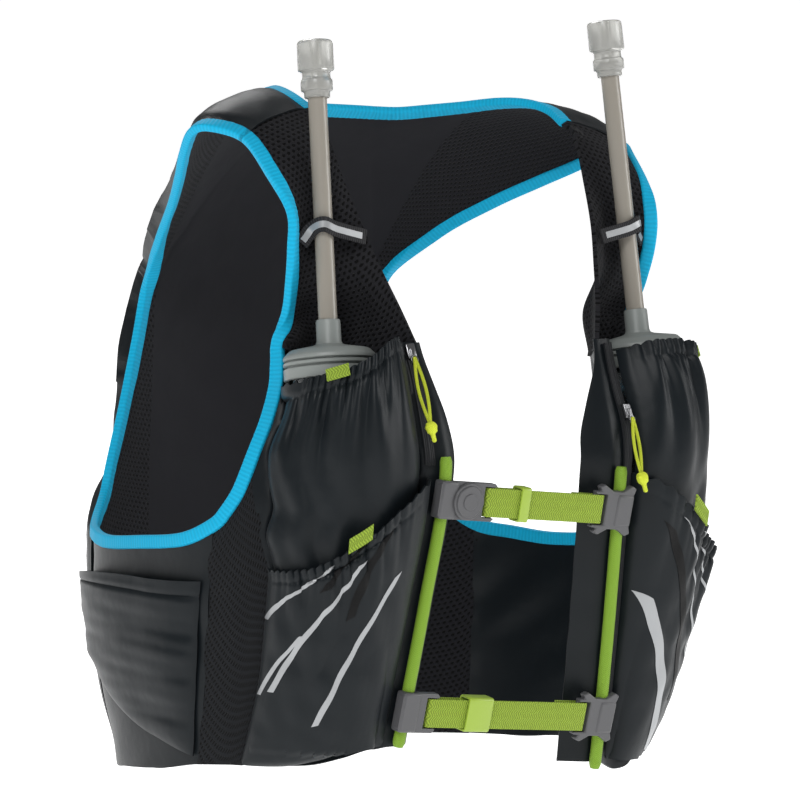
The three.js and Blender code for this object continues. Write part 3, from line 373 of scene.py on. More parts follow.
def waves(u, v, scale, seed):
    """Smooth uneven wrinkles from a few crossed waves, about -1 to 1."""
    total = 0
    for k in range(4):
        turn = seed * 1.7 + k * 2.4
        a, b = math.cos(turn), math.sin(turn)
        w = (u * a + v * b) / scale * (1 + 0.37 * k)
        total = total + np.sin(w * 6.28 + 1.9 * np.sin((v * a - u * b) / scale * 2.1 + seed + k) + k * seed)
    return total / 4


def near_edges(u, share):
    """Rises to 1 at the end of a row and falls to -1 at its start, within this share of it."""
    return np.clip((u - (1 - share)) / share, 0, 1) - np.clip((share - u) / share, 0, 1)


def hem_groove(down):
    """Depth of the groove under the hem's elastic."""
    return 1.5 * np.exp(-((down - 6.5) / 1.3) ** 2)


def lengths(grid):
    """Distance along the rows and down the columns, in millimetres."""
    across = np.linalg.norm(np.diff(grid, axis=1), axis=-1)
    down = np.linalg.norm(np.diff(grid, axis=0), axis=-1)
    u = np.concatenate([np.zeros((len(grid), 1)), np.cumsum(across, 1)], 1)
    v = np.concatenate([np.zeros((1, grid.shape[1])), np.cumsum(down, 0)], 0)
    return u - u[:, -1:] / 2, v


def normals(grid, centre=(0, 10, -180)):
    n = unit(np.cross(np.gradient(grid, axis=0), np.gradient(grid, axis=1)))
    if np.sum(n * (grid - vec(*centre))) < 0:
        n = -n
    return n


def new_object(name, mesh, look):
    obj = bpy.data.objects.new(name, mesh)
    bpy.context.scene.collection.objects.link(obj)
    mesh.materials.append(look)
    return obj


def finish_mesh(name, points, faces, uv, look, sharp=None):
    mesh = bpy.data.meshes.new(name)
    mesh.from_pydata((np.asarray(points) / MM).tolist(), [], faces)
    layer = mesh.uv_layers.new(name="UVMap")
    index = np.zeros(len(mesh.loops), dtype=np.int32)
    mesh.loops.foreach_get("vertex_index", index)
    layer.data.foreach_set("uv", (np.asarray(uv)[index] / UV_STEP).astype(np.float32).ravel())
    mesh.shade_smooth()
    if sharp:
        mesh.set_sharp_from_angle(angle=math.radians(sharp))
    return new_object(name, mesh, look)


def cloth(name, grid, thick, look, keep=None, n=None):
    """A sheet with both faces and a rim from a grid of points on its inner side."""
    n = normals(grid) if n is None else n
    rows, columns = grid.shape[:2]
    u, v = lengths(grid)
    outer = (grid + n * thick).reshape(-1, 3)
    points = np.concatenate([outer, grid.reshape(-1, 3)])
    uv = np.stack([u.ravel(), v.ravel()], -1)
    index = np.arange(rows * columns).reshape(rows, columns)
    quads = np.stack([index[:-1, :-1], index[:-1, 1:], index[1:, 1:], index[1:, :-1]], -1)
    quads = quads[keep] if keep is not None else quads.reshape(-1, 4)
    a, b, c = (outer[quads[0][k]] for k in range(3))
    if np.cross(b - a, c - a).dot(n.reshape(-1, 3)[quads[0][0]]) < 0:
        quads = quads[:, ::-1]
    count = rows * columns
    edges = {}
    for q in quads.tolist():
        for k in range(4):
            pair = (q[k], q[(k + 1) % 4])
            if (pair[1], pair[0]) in edges:
                del edges[(pair[1], pair[0])]
            else:
                edges[pair] = True
    faces = quads.tolist() + (quads[:, ::-1] + count).tolist()
    faces += [(j, i, i + count, j + count) for i, j in edges]
    return finish_mesh(name, points, faces, np.concatenate([uv, uv]), look, 60)


def face_outward(obj, merge=False):
    """Turns the faces outward; merge joins the triangles of each flat side."""
    bm = bmesh.new()
    bm.from_mesh(obj.data)
    bmesh.ops.recalc_face_normals(bm, faces=bm.faces)
    if merge:
        bmesh.ops.dissolve_limit(bm, angle_limit=0.01, verts=bm.verts, edges=bm.edges)
    bm.to_mesh(obj.data)
    bm.free()
    return obj


def loft(name, rings, look, closed=False, caps=True, sharp=40):
    """Rings of equal count, joined into a tube; closed joins the last ring to the first."""
    rings = np.asarray(rings, float)
    r, n = rings.shape[:2]
    steps = np.linalg.norm(rings[0] - np.roll(rings[0], 1, 0), axis=-1)
    around = np.concatenate([[0], np.cumsum(steps[1:])])
    centre = rings.mean(1)
    run = np.concatenate([[0], np.cumsum(np.linalg.norm(np.diff(centre, axis=0), axis=-1))])
    uv = np.stack([np.repeat(run, n), np.tile(around, r)], -1)
    faces = []
    for i in range(r if closed else r - 1):
        a, b = i * n, ((i + 1) % r) * n
        for j in range(n):
            k = (j + 1) % n
            faces.append((a + j, a + k, b + k, b + j))
    if caps and not closed:
        faces += [tuple(range(n))[::-1], tuple(range((r - 1) * n, r * n))]
    return face_outward(finish_mesh(name, rings.reshape(-1, 3), faces, uv, look, sharp))


def turned(name, outline, sides, at, look, sharp=35):
    """An outline of radius and height, turned about the axis of at."""
    rings = []
    for i in range(sides):
        a = 2 * math.pi * i / sides
        rings.append([at(r * math.cos(a), r * math.sin(a), h) for r, h in outline])
    return loft(name, rings, look, closed=True, sharp=sharp)


def plate(name, outline, holes, low, high, at, look, bevel=0.5):
    """A flat outline with holes, given thickness and rounded edges."""
    loops = [outline] + list(holes)
    flat = [[Vector((a, c, 0)) for a, c in loop] for loop in loops]
    triangles = geometry.tessellate_polygon(flat)
    corners = [p for loop in loops for p in loop]
    n = len(corners)
    points = [at(a, low, c) for a, c in corners] + [at(a, high, c) for a, c in corners]
    faces = [tuple(t) for t in triangles] + [tuple(i + n for i in t[::-1]) for t in triangles]
    start = 0
    for loop in loops:
        for i in range(len(loop)):
            j = (i + 1) % len(loop)
            faces.append((start + i, start + j, start + j + n, start + i + n))
        start += len(loop)
    uv = np.array([(a, c) for a, c in corners] * 2, float)
    obj = face_outward(finish_mesh(name, points, faces, uv, look, 35), True)
    if bevel:
        rounding = obj.modifiers.new("rounding", "BEVEL")
        rounding.width = bevel / MM
        rounding.segments = 3
        rounding.limit_method = "ANGLE"
        rounding.angle_limit = math.radians(35)
        rounding.harden_normals = False
    return obj


def rounded(points, radius, steps=4):
    """Outline with each corner rounded off."""
    out = []
    n = len(points)
    for i in range(n):
        a, b, c = (vec(*points[(i + k) % n]) for k in (-1, 0, 1))
        r = min(radius, 0.45 * np.linalg.norm(a - b), 0.45 * np.linalg.norm(c - b))
        p, q = b + unit(a - b) * r, b + unit(c - b) * r
        for k in range(steps + 1):
            t = k / steps
            out.append(tuple((1 - t) ** 2 * p + 2 * t * (1 - t) * b + t * t * q))
    return out


def keep_piece(obj, slot, *nodes):
    """Attaches a piece to the root body and hides the nodes that it stands for; the slot is not used."""
    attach(obj, "root")
    if nodes:
        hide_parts(*nodes)
    return obj


# Materials

def nodes_of(material):
    material.use_nodes = True
    tree = material.node_tree
    shader = next(n for n in tree.nodes if n.type == "BSDF_PRINCIPLED")
    return tree, shader


def group(name, inputs, result):
    """A new node group with named sockets, and its inner ends."""
    tree = bpy.data.node_groups.new(name, "ShaderNodeTree")
    for label, value in inputs.items():
        socket = tree.interface.new_socket(label, in_out="INPUT", socket_type="NodeSocketFloat")
        socket.default_value = value
    tree.interface.new_socket(result, in_out="OUTPUT", socket_type="NodeSocketFloat")
    return tree, tree.nodes.new("NodeGroupInput"), tree.nodes.new("NodeGroupOutput")


def maths(tree, kind, a, b=None, c=None):
    node = tree.nodes.new("ShaderNodeMath")
    node.operation = kind
    for socket, value in zip(node.inputs, (a, b, c)):
        if value is None:
            continue
        if isinstance(value, (int, float)):
            socket.default_value = value
        else:
            tree.links.new(value, socket)
    return node.outputs[0]


def coordinates(tree):
    """Millimetres along and down the cloth."""
    uv = tree.nodes.new("ShaderNodeUVMap")
    uv.uv_map = "UVMap"
    split = tree.nodes.new("ShaderNodeSeparateXYZ")
    tree.links.new(uv.outputs[0], split.inputs[0])
    return [maths(tree, "MULTIPLY", split.outputs[k], UV_STEP) for k in (0, 1)]


def weave_group():
    """Plain weave: a height made of two crossed sets of threads."""
    tree, into, out = group("Weave", {"Threads per mm": 1.2}, "Height")
    u, v = coordinates(tree)
    pitch = into.outputs[0]
    turn = 2 * math.pi
    a = maths(tree, "SINE", maths(tree, "MULTIPLY", maths(tree, "MULTIPLY", u, pitch), turn))
    b = maths(tree, "SINE", maths(tree, "MULTIPLY", maths(tree, "MULTIPLY", v, pitch), turn))
    tree.links.new(maths(tree, "MULTIPLY_ADD", maths(tree, "MULTIPLY", a, b), 0.5, 0.5), out.inputs[0])
    return tree


def holes_group():
    """Rows of oval holes, each row shifted by half a hole: 1 in a hole, 0 between."""
    tree, into, out = group("Oval holes", {"Pitch along": 3.2, "Pitch down": 2.6, "Size": 0.62}, "Hole")
    u, v = coordinates(tree)
    row = maths(tree, "DIVIDE", v, into.outputs[1])
    shift = maths(tree, "MULTIPLY", maths(tree, "FLOORED_MODULO", maths(tree, "FLOOR", row), 2.0), 0.5)
    column = maths(tree, "ADD", maths(tree, "DIVIDE", u, into.outputs[0]), shift)
    x = maths(tree, "MULTIPLY_ADD", maths(tree, "FRACT", column), 2.0, -1.0)
    y = maths(tree, "MULTIPLY_ADD", maths(tree, "FRACT", row), 2.0, -1.0)
    squares = [maths(tree, "MULTIPLY", value, value) for value in (x, y)]
    far = maths(tree, "SQRT", maths(tree, "ADD", *squares))
    edge = maths(tree, "DIVIDE", maths(tree, "SUBTRACT", into.outputs[2], far), 0.22)
    clean = tree.nodes.new("ShaderNodeClamp")
    tree.links.new(edge, clean.inputs[0])
    tree.links.new(clean.outputs[0], out.inputs[0])
    return tree


def rib_group():
    """Ribs across a tape, with a fine twill between them."""
    tree, into, out = group("Ribs", {"Rib pitch": 1.4, "Slant": 0.6}, "Height")
    u, v = coordinates(tree)
    fold = maths(tree, "PINGPONG", v, 2.5)
    line = maths(tree, "ADD", u, maths(tree, "MULTIPLY", fold, into.outputs[1]))
    phase = maths(tree, "MULTIPLY", maths(tree, "DIVIDE", line, into.outputs[0]), 2 * math.pi)
    wave = maths(tree, "SINE", phase)
    tree.links.new(maths(tree, "MULTIPLY_ADD", wave, 0.5, 0.5), out.inputs[0])
    return tree


def uneven_group():
    """Soft clouds in the object's own space, for uneven colour, creases and grain."""
    tree, into, out = group("Uneven", {"Scale": 22.0, "Detail": 3.0}, "Share")
    where = tree.nodes.new("ShaderNodeTexCoord")
    clouds = tree.nodes.new("ShaderNodeTexNoise")
    clouds.inputs["Roughness"].default_value = 0.55
    tree.links.new(where.outputs["Object"], clouds.inputs["Vector"])
    for socket, label in zip(into.outputs, ("Scale", "Detail")):
        tree.links.new(socket, clouds.inputs[label])
    tree.links.new(clouds.outputs["Fac"], out.inputs[0])
    return tree


def group_node(tree, name, **values):
    """Places a shared node group, which is built the first time it is asked for."""
    makers = {"Weave": weave_group, "Oval holes": holes_group, "Ribs": rib_group, "Uneven": uneven_group}
    node = tree.nodes.new("ShaderNodeGroup")
    node.node_tree = bpy.data.node_groups.get(name) or makers[name]()
    for label, value in values.items():
        node.inputs[label.replace("_", " ")].default_value = value
    return node.outputs[0]


def bump(tree, shader, height, depth, below=None):
    """Relief of this depth in millimetres, over the relief below."""
    node = tree.nodes.new("ShaderNodeBump")
    node.inputs["Strength"].default_value = 1.0
    node.inputs["Distance"].default_value = depth / MM
    tree.links.new(height, node.inputs["Height"])
    if below is not None:
        tree.links.new(below, node.inputs["Normal"])
    tree.links.new(node.outputs[0], shader.inputs["Normal"])
    return node.outputs[0]


def noise(tree, scale, detail=3.0):
    return group_node(tree, "Uneven", Scale=scale, Detail=detail)


def blend_colour(tree, share, low, high):
    node = tree.nodes.new("ShaderNodeMix")
    node.data_type = "RGBA"
    tree.links.new(share, node.inputs[0])
    for socket, value in ((node.inputs[6], low), (node.inputs[7], high)):
        if isinstance(value, tuple):
            socket.default_value = (*value, 1)
        else:
            tree.links.new(value, socket)
    return node.outputs[2]


def shades(colour, spread):
    return tuple(c * (1 - spread) for c in colour), tuple(min(1, c * (1 + spread)) for c in colour)


def cloth_look(name, colour, roughness, sheen, threads=1.3, weave=0.05, crease=0.5):
    """Woven cloth: fine weave, small creases, and an uneven colour."""
    material = bpy.data.materials.new(name)
    tree, shader = nodes_of(material)
    shader.inputs["Roughness"].default_value = roughness
    shader.inputs["Sheen Weight"].default_value = sheen
    shader.inputs["Sheen Roughness"].default_value = 0.4
    shader.inputs["Specular IOR Level"].default_value = 0.2
    cloud = noise(tree, 22.0)
    tree.links.new(blend_colour(tree, cloud, *shades(colour, 0.12)), shader.inputs["Base Color"])
    first = bump(tree, shader, noise(tree, 75.0, 2.0), crease)
    bump(tree, shader, group_node(tree, "Weave", Threads_per_mm=threads), weave, first)
    return material


def mesh_look(name, colour, hole, across, down, size, depth, beyond=0, roughness=0.85):
    """Knitted mesh with rows of holes painted dark as shade; the holes may start only this far to each side
    of the middle.
    """
    material = bpy.data.materials.new(name)
    tree, shader = nodes_of(material)
    shader.inputs["Roughness"].default_value = roughness
    shader.inputs["Sheen Weight"].default_value = 0.04
    shader.inputs["Specular IOR Level"].default_value = 0.15
    share = group_node(tree, "Oval holes", Pitch_along=across, Pitch_down=down, Size=size)
    if beyond:
        where = tree.nodes.new("ShaderNodeTexCoord")
        split = tree.nodes.new("ShaderNodeSeparateXYZ")
        tree.links.new(where.outputs["Object"], split.inputs[0])
        far = maths(tree, "ABSOLUTE", split.outputs[0])
        share = maths(tree, "MULTIPLY", share, maths(tree, "GREATER_THAN", far, beyond / MM))
    cloud = blend_colour(tree, noise(tree, 30.0), *shades(colour, 0.12))
    # The holes take the hole colour: painted shade in place of real openings in the mesh.
    tree.links.new(blend_colour(tree, share, cloud, hole), shader.inputs["Base Color"])
    first = bump(tree, shader, noise(tree, 90.0, 2.0), 0.3)
    bump(tree, shader, maths(tree, "SUBTRACT", 1.0, share), depth, first)
    return material


def tape_look(name, colour, pitch, slant, depth, roughness, spread):
    """Webbing and tape: slanted ribs, with painted shade between them and painted light on them."""
    material = bpy.data.materials.new(name)
    tree, shader = nodes_of(material)
    shader.inputs["Roughness"].default_value = roughness
    shader.inputs["Sheen Weight"].default_value = 0.03
    shader.inputs["Specular IOR Level"].default_value = 0.2
    rib = group_node(tree, "Ribs", Rib_pitch=pitch, Slant=slant)
    # Colour follows the rib height by spread: painted shade in the grooves and painted light on the crests,
    # where the bump sinks and rises.
    tree.links.new(blend_colour(tree, rib, *shades(colour, spread)), shader.inputs["Base Color"])
    first = bump(tree, shader, noise(tree, 60.0, 2.0), 0.3)
    bump(tree, shader, rib, depth, first)
    return material


def hard_look(name, colour, roughness=0.4, metallic=0.0, grain=0.06, spread=0.06):
    """Moulded plastic or metal with a fine grain."""
    material = bpy.data.materials.new(name)
    tree, shader = nodes_of(material)
    shader.inputs["Roughness"].default_value = roughness
    shader.inputs["Metallic"].default_value = metallic
    uneven = blend_colour(tree, noise(tree, 40.0), *shades(colour, spread))
    tree.links.new(uneven, shader.inputs["Base Color"])
    bump(tree, shader, noise(tree, 900.0, 1.0), grain)
    return material


def clear_look(name, colour, transmission, roughness=0.3):
    """Milky silicone or soft film."""
    material = hard_look(name, colour, roughness, 0.0, 0.02, 0.03)
    _, shader = nodes_of(material)
    shader.inputs["Transmission Weight"].default_value = transmission
    shader.inputs["IOR"].default_value = 1.38
    shader.inputs["Coat Weight"].default_value = 0.15
    shader.inputs["Coat Roughness"].default_value = 0.2
    return material


def make_looks(look):
    """All materials, with the colours of the settings."""
    keys = ("outer", "lining", "binding", "lime", "rail", "cord", "hardware")
    outer, lining, binding, lime, rail_green, cord, hardware = (tuple(getattr(look, key)) for key in keys)
    pocket = tuple(c * 1.12 for c in outer)
    bright = tuple(min(1, c * 1.3) for c in lime)
    # Hole colours of the meshes: painted shade seen through their holes.
    mesh_hole_shade, spacer_hole_shade = (0.002, 0.002, 0.002), (0.0015, 0.0015, 0.002)
    recipes = [
        (cloth_look, "outer_nylon", outer, 0.4, 0.03, 1.1, 0.03, 0.35),
        (cloth_look, "pocket_nylon", pocket, 0.4, 0.03, 1.1, 0.03, 0.4),
        (cloth_look, "dark_tape", (0.001, 0.001, 0.0012), 0.5, 0.0),
        # The lining's hole colour is painted shade as well.
        (mesh_look, "lining", lining, (0.002, 0.002, 0.0025), 3.4, 2.7, 0.7, 0.8, LINING_HOLES, 0.7),
        (mesh_look, "spacer_mesh", (0.014, 0.014, 0.0165), spacer_hole_shade, 3.4, 2.7, 0.72, 0.9),
        (mesh_look, "side_mesh", (0.011, 0.012, 0.014), mesh_hole_shade, 2.8, 2.3, 0.66, 0.6),
        # For the tape looks the last number sets the painted shade in the grooves and the painted light on
        # the ribs.
        (tape_look, "binding", binding, 2.2, 0.0, 0.12, 0.62, 0.07),
        (tape_look, "webbing", lime, 1.5, 0.7, 0.3, 0.72, 0.3),
        (tape_look, "rail", rail_green, 1.2, 0.9, 0.12, 0.5, 0.12),
        (tape_look, "reflective_elastic", (0.02, 0.02, 0.022), 1.3, 0.0, 0.3, 0.6, 0.35),
        (tape_look, "pull_cord", cord, 0.8, 0.9, 0.1, 0.65, 0.15),
        (tape_look, "zip_tape", (0.012, 0.013, 0.015), 1.1, 0.0, 0.3, 0.5, 0.3),
        (hard_look, "hardware", hardware, 0.42),
        (hard_look, "flask_cap", (0.235, 0.255, 0.245), 0.42),
        (hard_look, "keeper", bright, 0.35),
        (hard_look, "reflective_tape", (0.36, 0.37, 0.38), 0.38, 0.35, 0.05),
        (hard_look, "metal", (0.32, 0.32, 0.33), 0.28, 1.0),
        (clear_look, "clear_silicone", (0.62, 0.62, 0.59), 0.6, 0.25),
        (clear_look, "flask_film", (0.6, 0.65, 0.67), 0.7, 0.2),
        (clear_look, "tube", (0.4, 0.37, 0.32), 0.3, 0.25),
    ]
    return {name: make(name, *values) for make, name, *values in recipes}


# Cloth of the fronts and sides

def front_panel(side):
    """The cloth of one front, with the recess for the flask and the turned edge at the opening."""
    t = np.linspace(0, 1, 78)[:, None]
    u = np.concatenate([[-0.05], np.linspace(0, 1, 60)])[None, :]
    z = mix(PANEL_TOP, PANEL_FOOT, t)
    start, end = edge_angle(z) + 0.4, mesh_front(z)
    angle = mix(start, end, np.maximum(u, 0))
    h = mix(PANEL_TOP, hem(angle), t)
    grid = body(angle, h, -sink(angle, h) + 0.35 * waves(angle * 2.5, h, 40, 2.1))
    tuck = side["placket"] * ease((-118 - z[:, 0]) / 50) + 1.2
    grid[:, 0] = grid[:, 1] + vec(-0.87, 0.5, 0) * tuck[:, None]
    return place(side, grid, WALL + 1.4)


def strap_grid():
    """Rows of the left shoulder strap, from the shoulder down to the front panel."""
    shares = np.array([0, 0.165, 0.27, 0.39, 0.54, 0.7, 0.84, 0.925, 1])
    rows = []
    for i, (inner, outer, high) in enumerate(STRAP):
        a, b = vec(*inner), vec(*outer)
        down = vec(*STRAP[min(i + 1, 5)][0]) - vec(*STRAP[max(i - 1, 0)][0])
        out = unit(np.cross(down, b - a))
        off = np.where(shares < 0.58, (0.58 - shares) / 0.44, (shares - 0.58) / 0.38)
        hump = 4 * shares * (1 - shares) if high > 0 else np.maximum(0, 1 - np.minimum(1, off) ** 2.2) ** 0.5
        rows.append(a + (b - a) * shares[:, None] + out * (high * hump)[:, None])
    angle = mix(edge_angle(STRAP_FOOT) + 0.4, mesh_front(STRAP_FOOT), shares)
    rows.append(body(angle, STRAP_FOOT, -sink(angle, STRAP_FOOT)))
    return np.array(rows)


def side_mesh(side):
    r = np.linspace(0, 5, 40)[:, None]
    u = np.linspace(0, 1, 14)[None, :]
    t = r / 5
    z, zb = np.interp(r, range(6), MESH_ROWS), np.interp(r, range(6), MESH_BACK_ROWS)
    angle = mix(mesh_front(z), curve(MESH_BACK, zb), u) + 0.1 * (1 - 2 * u)
    h = mix(z, zb, u)
    top_angle = np.interp(u, [0, 1 / 3, 2 / 3, 1], [66, 69, 72, 75.2])
    angle = angle + (top_angle - mix(66, 75.2, u)) * (1 - t) ** 2
    h = h + (curve(ARM_LOW, top_angle) - mix(-172, -210.5, u)) * (1 - t) ** 2
    h = np.where(r > 4, mix(h, hem(angle), np.clip(r - 4, 0, 1)), h)
    seam = near_edges(u, 0.1)
    return place(side, body(angle + 0.5 * seam, h, 0.3 * waves(angle * 2, h, 30, 1.1) - 0.3 * np.abs(seam)))


def side_panel(side):
    r = np.linspace(0, 5, 60)[:, None]
    u = np.linspace(0, 1, 60)[None, :]
    t = r / 5
    z, zb = np.interp(r, range(6), MESH_BACK_ROWS), np.interp(r, range(6), SIDE_BACK_ROWS)
    base = np.interp(u, np.linspace(0, 1, 6), SIDE_ANGLES)
    angle = base + (curve(MESH_BACK, z) - 75.2) * (1 - u) + 0.2 * (1 - 2 * u)
    h = mix(z, zb, u) + (curve(ARM_LOW, base) - mix(-210.5, -223, u)) * (1 - t) ** 2
    h = np.where(r > 4, mix(h, hem(angle), np.clip(r - 4, 0, 1)), h)
    slanted = 1.3 * waves(angle * 1.6 + h * 0.8, h * 0.35, 44, 0.4) * np.sin(np.pi * np.clip(t, 0, 1)) ** 0.5
    seam = near_edges(u, 0.03)
    return place(side, form(angle + 0.7 * seam, h, slanted - 0.3 * np.abs(seam)))


def side_pocket(side, sizes):
    t = np.linspace(0, 1, 70)[:, None]
    u = np.linspace(0, 1, 90)[None, :]
    angle = np.interp(u, np.linspace(0, 1, 6), POCKET_ANGLES) + 0 * t
    h = mix(curve(MOUTH, angle), curve(FOOT, angle), t)
    belly = np.sin(np.pi * u) ** 0.6 * np.cos(t * np.pi / 2) ** 0.6
    crease = 1.5 * waves(angle * 0.35, h * 0.9, 30, 1.3) + 0.45 * waves(angle * 0.7, h * 1.2, 19, 2.2)
    crease = MM * sizes.wrinkles * crease
    inside = np.clip(belly * 3, 0, 1)
    fold = 1.1 * np.exp(-((t * 80 - 7) / 1.2) ** 2)
    lift = WALL + LAYER_GAP + 9 * belly + crease * inside * np.minimum(1, t * 9) - fold * inside
    return place(side, form(angle, h, lift))


def gathers(width, down, sizes, seed):
    """Elastic gathers at a hem: short close pleats, then long soft folds below."""
    turns = 2 * np.pi * (width + 0.1 * down) / 8.6 + 1.5 * np.sin(width / 13 + seed)
    sway = width + 0.3 * down + 2.2 * np.sin(down / 26 + seed)
    close = 1.5 * np.exp(-down / 10) * np.sin(2 * np.pi * width / PLEAT + 1.2 * np.sin(width / 9 + seed))
    middle = np.exp(-((down - 14) / 18) ** 2) * np.sin(turns)
    folds = np.exp(-down / 85) * np.sin(2 * np.pi * sway / 15.5 + seed)
    return MM * sizes.gathers * (0.55 * close + 0.6 * middle + 0.7 * folds)


def frill(width, down, sizes, seed):
    """Up and down of the hem's edge between its gathers."""
    turns = 2 * np.pi * width / PLEAT + 1.2 * np.sin(width / 9 + seed) + 0.8
    return MM * sizes.gathers * (0.45 * np.exp(-down / 5) * np.sin(turns))


def upper_pocket(side, sizes):
    """The tall gathered pocket round the flask."""
    t = (np.linspace(0, 1, POCKET_STEPS[0]) ** 1.35)[:, None]
    u = np.linspace(0, 1, POCKET_STEPS[1])[None, :]
    width, down = u * UPPER_CLOTH[0], t * UPPER_CLOTH[1]
    seed = side["s"] + 1.4
    h = mix(curve(side["hem"], mix(22, 56, u)), POUCH_FOOT, t) + frill(width, down, sizes, seed)
    start, end = pocket_start(h), pocket_end(h)
    angle = mix(start, end, u)
    near = np.where(t < 0.1, 0.5 + 8 * np.clip(t, 0, 0.1), 1.3) * (1 - ease((t - 0.8) / 0.2) * 0.6)
    fold = near * np.cos(u * 8 * np.pi) * np.sin(np.pi * u)
    pleat = gathers(width, down, sizes, seed) * np.sin(np.pi * u) ** 0.35 * (1 - ease((t - 0.7) / 0.3))
    rim = hem_groove(down)
    full = (curve(DEPTH, h) + fold) * bulge(angle, h, start, end)
    lift = WALL + LAYER_GAP + full + pleat - rim * np.sin(np.pi * u)
    return place(side, body(angle, h, np.maximum(lift, WALL + 0.5)), 0.9)


def lower_pocket(side, sizes):
    """The wide gathered pocket over the foot of the upper one."""
    t = (np.linspace(0, 1, POCKET_STEPS[0]) ** 1.3)[:, None]
    u = np.linspace(0, 1, POCKET_STEPS[1])[None, :]
    guess = mix(18.5, 57, u)
    width, down = u * LOWER_CLOTH[0], t * LOWER_CLOTH[1]
    seed = 3.1 - side["s"]
    h = mix(curve(HEM_LOWER, guess), hem(guess) + 0.5, t) + frill(width, down, sizes, seed)
    start, end = edge_angle(h) + side["lower_start"], along(mesh_front(h), h, -1.2)
    angle = mix(start, end, u)
    roomy = 6.5 * (1 - t) ** 1.5 + 1.9
    fall = np.sqrt(np.maximum(0, 1 - t**3.2))
    fold = 1.2 * np.cos(u * 6 * np.pi + 1) * np.sin(np.pi * u) * (1 - ease((t - 0.8) / 0.2))
    own = (curve(DEPTH, np.maximum(h, -285)) + roomy + fold) * fall * bulge(angle, h, start, end)
    under = np.where(h > -322, curve(DEPTH, h) * bulge(angle, h, pocket_start(h), pocket_end(h)), 0)
    lift = np.maximum(own, np.where(under > 0, under + 1 + LAYER_GAP + 1.6, 0))
    pleat = gathers(width, down, sizes, seed) * np.sin(np.pi * u) ** 0.35
    slanted = 0.9 * waves(width * 0.8 + down * 0.9, down * 0.5 - width * 0.3, 30, 2.6) * ease(down / 30)
    slanted = MM * sizes.wrinkles * slanted
    rim = hem_groove(down)
    small = np.sin(np.pi * u) ** 0.5 * (1 - ease((t - 0.8) / 0.2))
    lift = lift + (0.8 * pleat + slanted) * small - rim * np.sin(np.pi * u)
    return place(side, body(angle, h, WALL + LAYER_GAP + np.maximum(lift, 0)))


def zip_tape(side):
    z = np.linspace(ZIP_TOP, side["zip_end"], 60)[:, None]
    k = np.linspace(0, ZIP_WIDE, 7)[None, :]
    ridge = 0.45 * np.exp(-((k - ZIP_WIDE / 2) / 0.3) ** 2)
    return place(side, body(zip_start(z) + k, z + 0 * k, ZIP_LIFT + ridge))


# Back of the vest

def yoke(shell):
    """Columns of the left half of the yoke, from the neck to the armhole or the lower back."""
    across = np.array([0, 0.07, 0.35, 0.68, 0.95, 1] if shell else [0, 0.35, 0.68, 1])
    necks = [vec(*n) for n, _ in YOKE] + [vec(x, y, z) for x, y, z, _ in YOKE_MIDDLE]
    outers = [vec(*o) for _, o in YOKE]
    outers += [form(back_angle(end, YOKE_FOOT), YOKE_FOOT) for *_, end in YOKE_MIDDLE]
    half = []
    for i, (neck, outer) in enumerate(zip(necks, outers)):
        low, high = max(i - 1, 0), min(i + 1, len(necks) - 1)
        run = (necks[high] + outers[high] - necks[low] - outers[low]) / 2
        out = unit(np.cross(outer - neck, run))
        if out[2] + out[1] < 0:
            out = -out
        bow = 4 * across * (1 - across) * (3 + i if i < 4 else 7)
        points = neck + (outer - neck) * across[:, None] + out * bow[:, None]
        if shell:
            start = 0.15 + 0.5 * ease((i - 1) / 6) if i < 6 else ease((i - 1) / 6)
            last = 0 if i <= len(YOKE) else 14
            puff = vec(0, 3, 6, 8, 8, last) * start
            points = points + out * (WALL + LAYER_GAP + puff)[:, None]
            if i <= len(YOKE):
                points[4] = points[4] + unit(outer - neck) * 3 * start
        half.append(points)
    return np.array(half)


def back_lower(shell):
    """Rows of the lower back, from the yoke's end down to the hem."""
    rows = []
    steps = np.array([1, 71 / 79, 50 / 79, 25 / 79, 0])
    u = np.concatenate([-steps, steps[:-1][::-1]])
    for r, z in enumerate(BACK_ROWS[1:]):
        edge = back_angle(curve(ARM_BACK, z), z) if z > -224 else BACK_SEAM + 0.25
        reach = np.abs(u) * (180 - edge)
        sign = np.where(u < 0, -1, 1)
        h = hem(180 - reach) if r == len(BACK_ROWS) - 2 else z + 0 * u
        if not shell:
            rows.append(form(sign * (180 - reach), h))
            continue
        t = np.clip((-110 - z) / 243, 0, 1)
        tail = math.sqrt(max(0, 1 - t**5))
        upper = ease((200 + z) / 70)
        beside = np.abs(u) > 0.8
        wide = np.where(beside, 1 + 0.06 * upper, 1)
        out = np.where(beside, 4 + 8 * upper, 14) * tail
        end = np.abs(u) > 0.99
        wide, out = np.where(end, 1, wide), np.where(end, 0, out)
        rows.append(form(sign * (180 - reach * wide), h, WALL + LAYER_GAP + out))
    return np.array(rows)


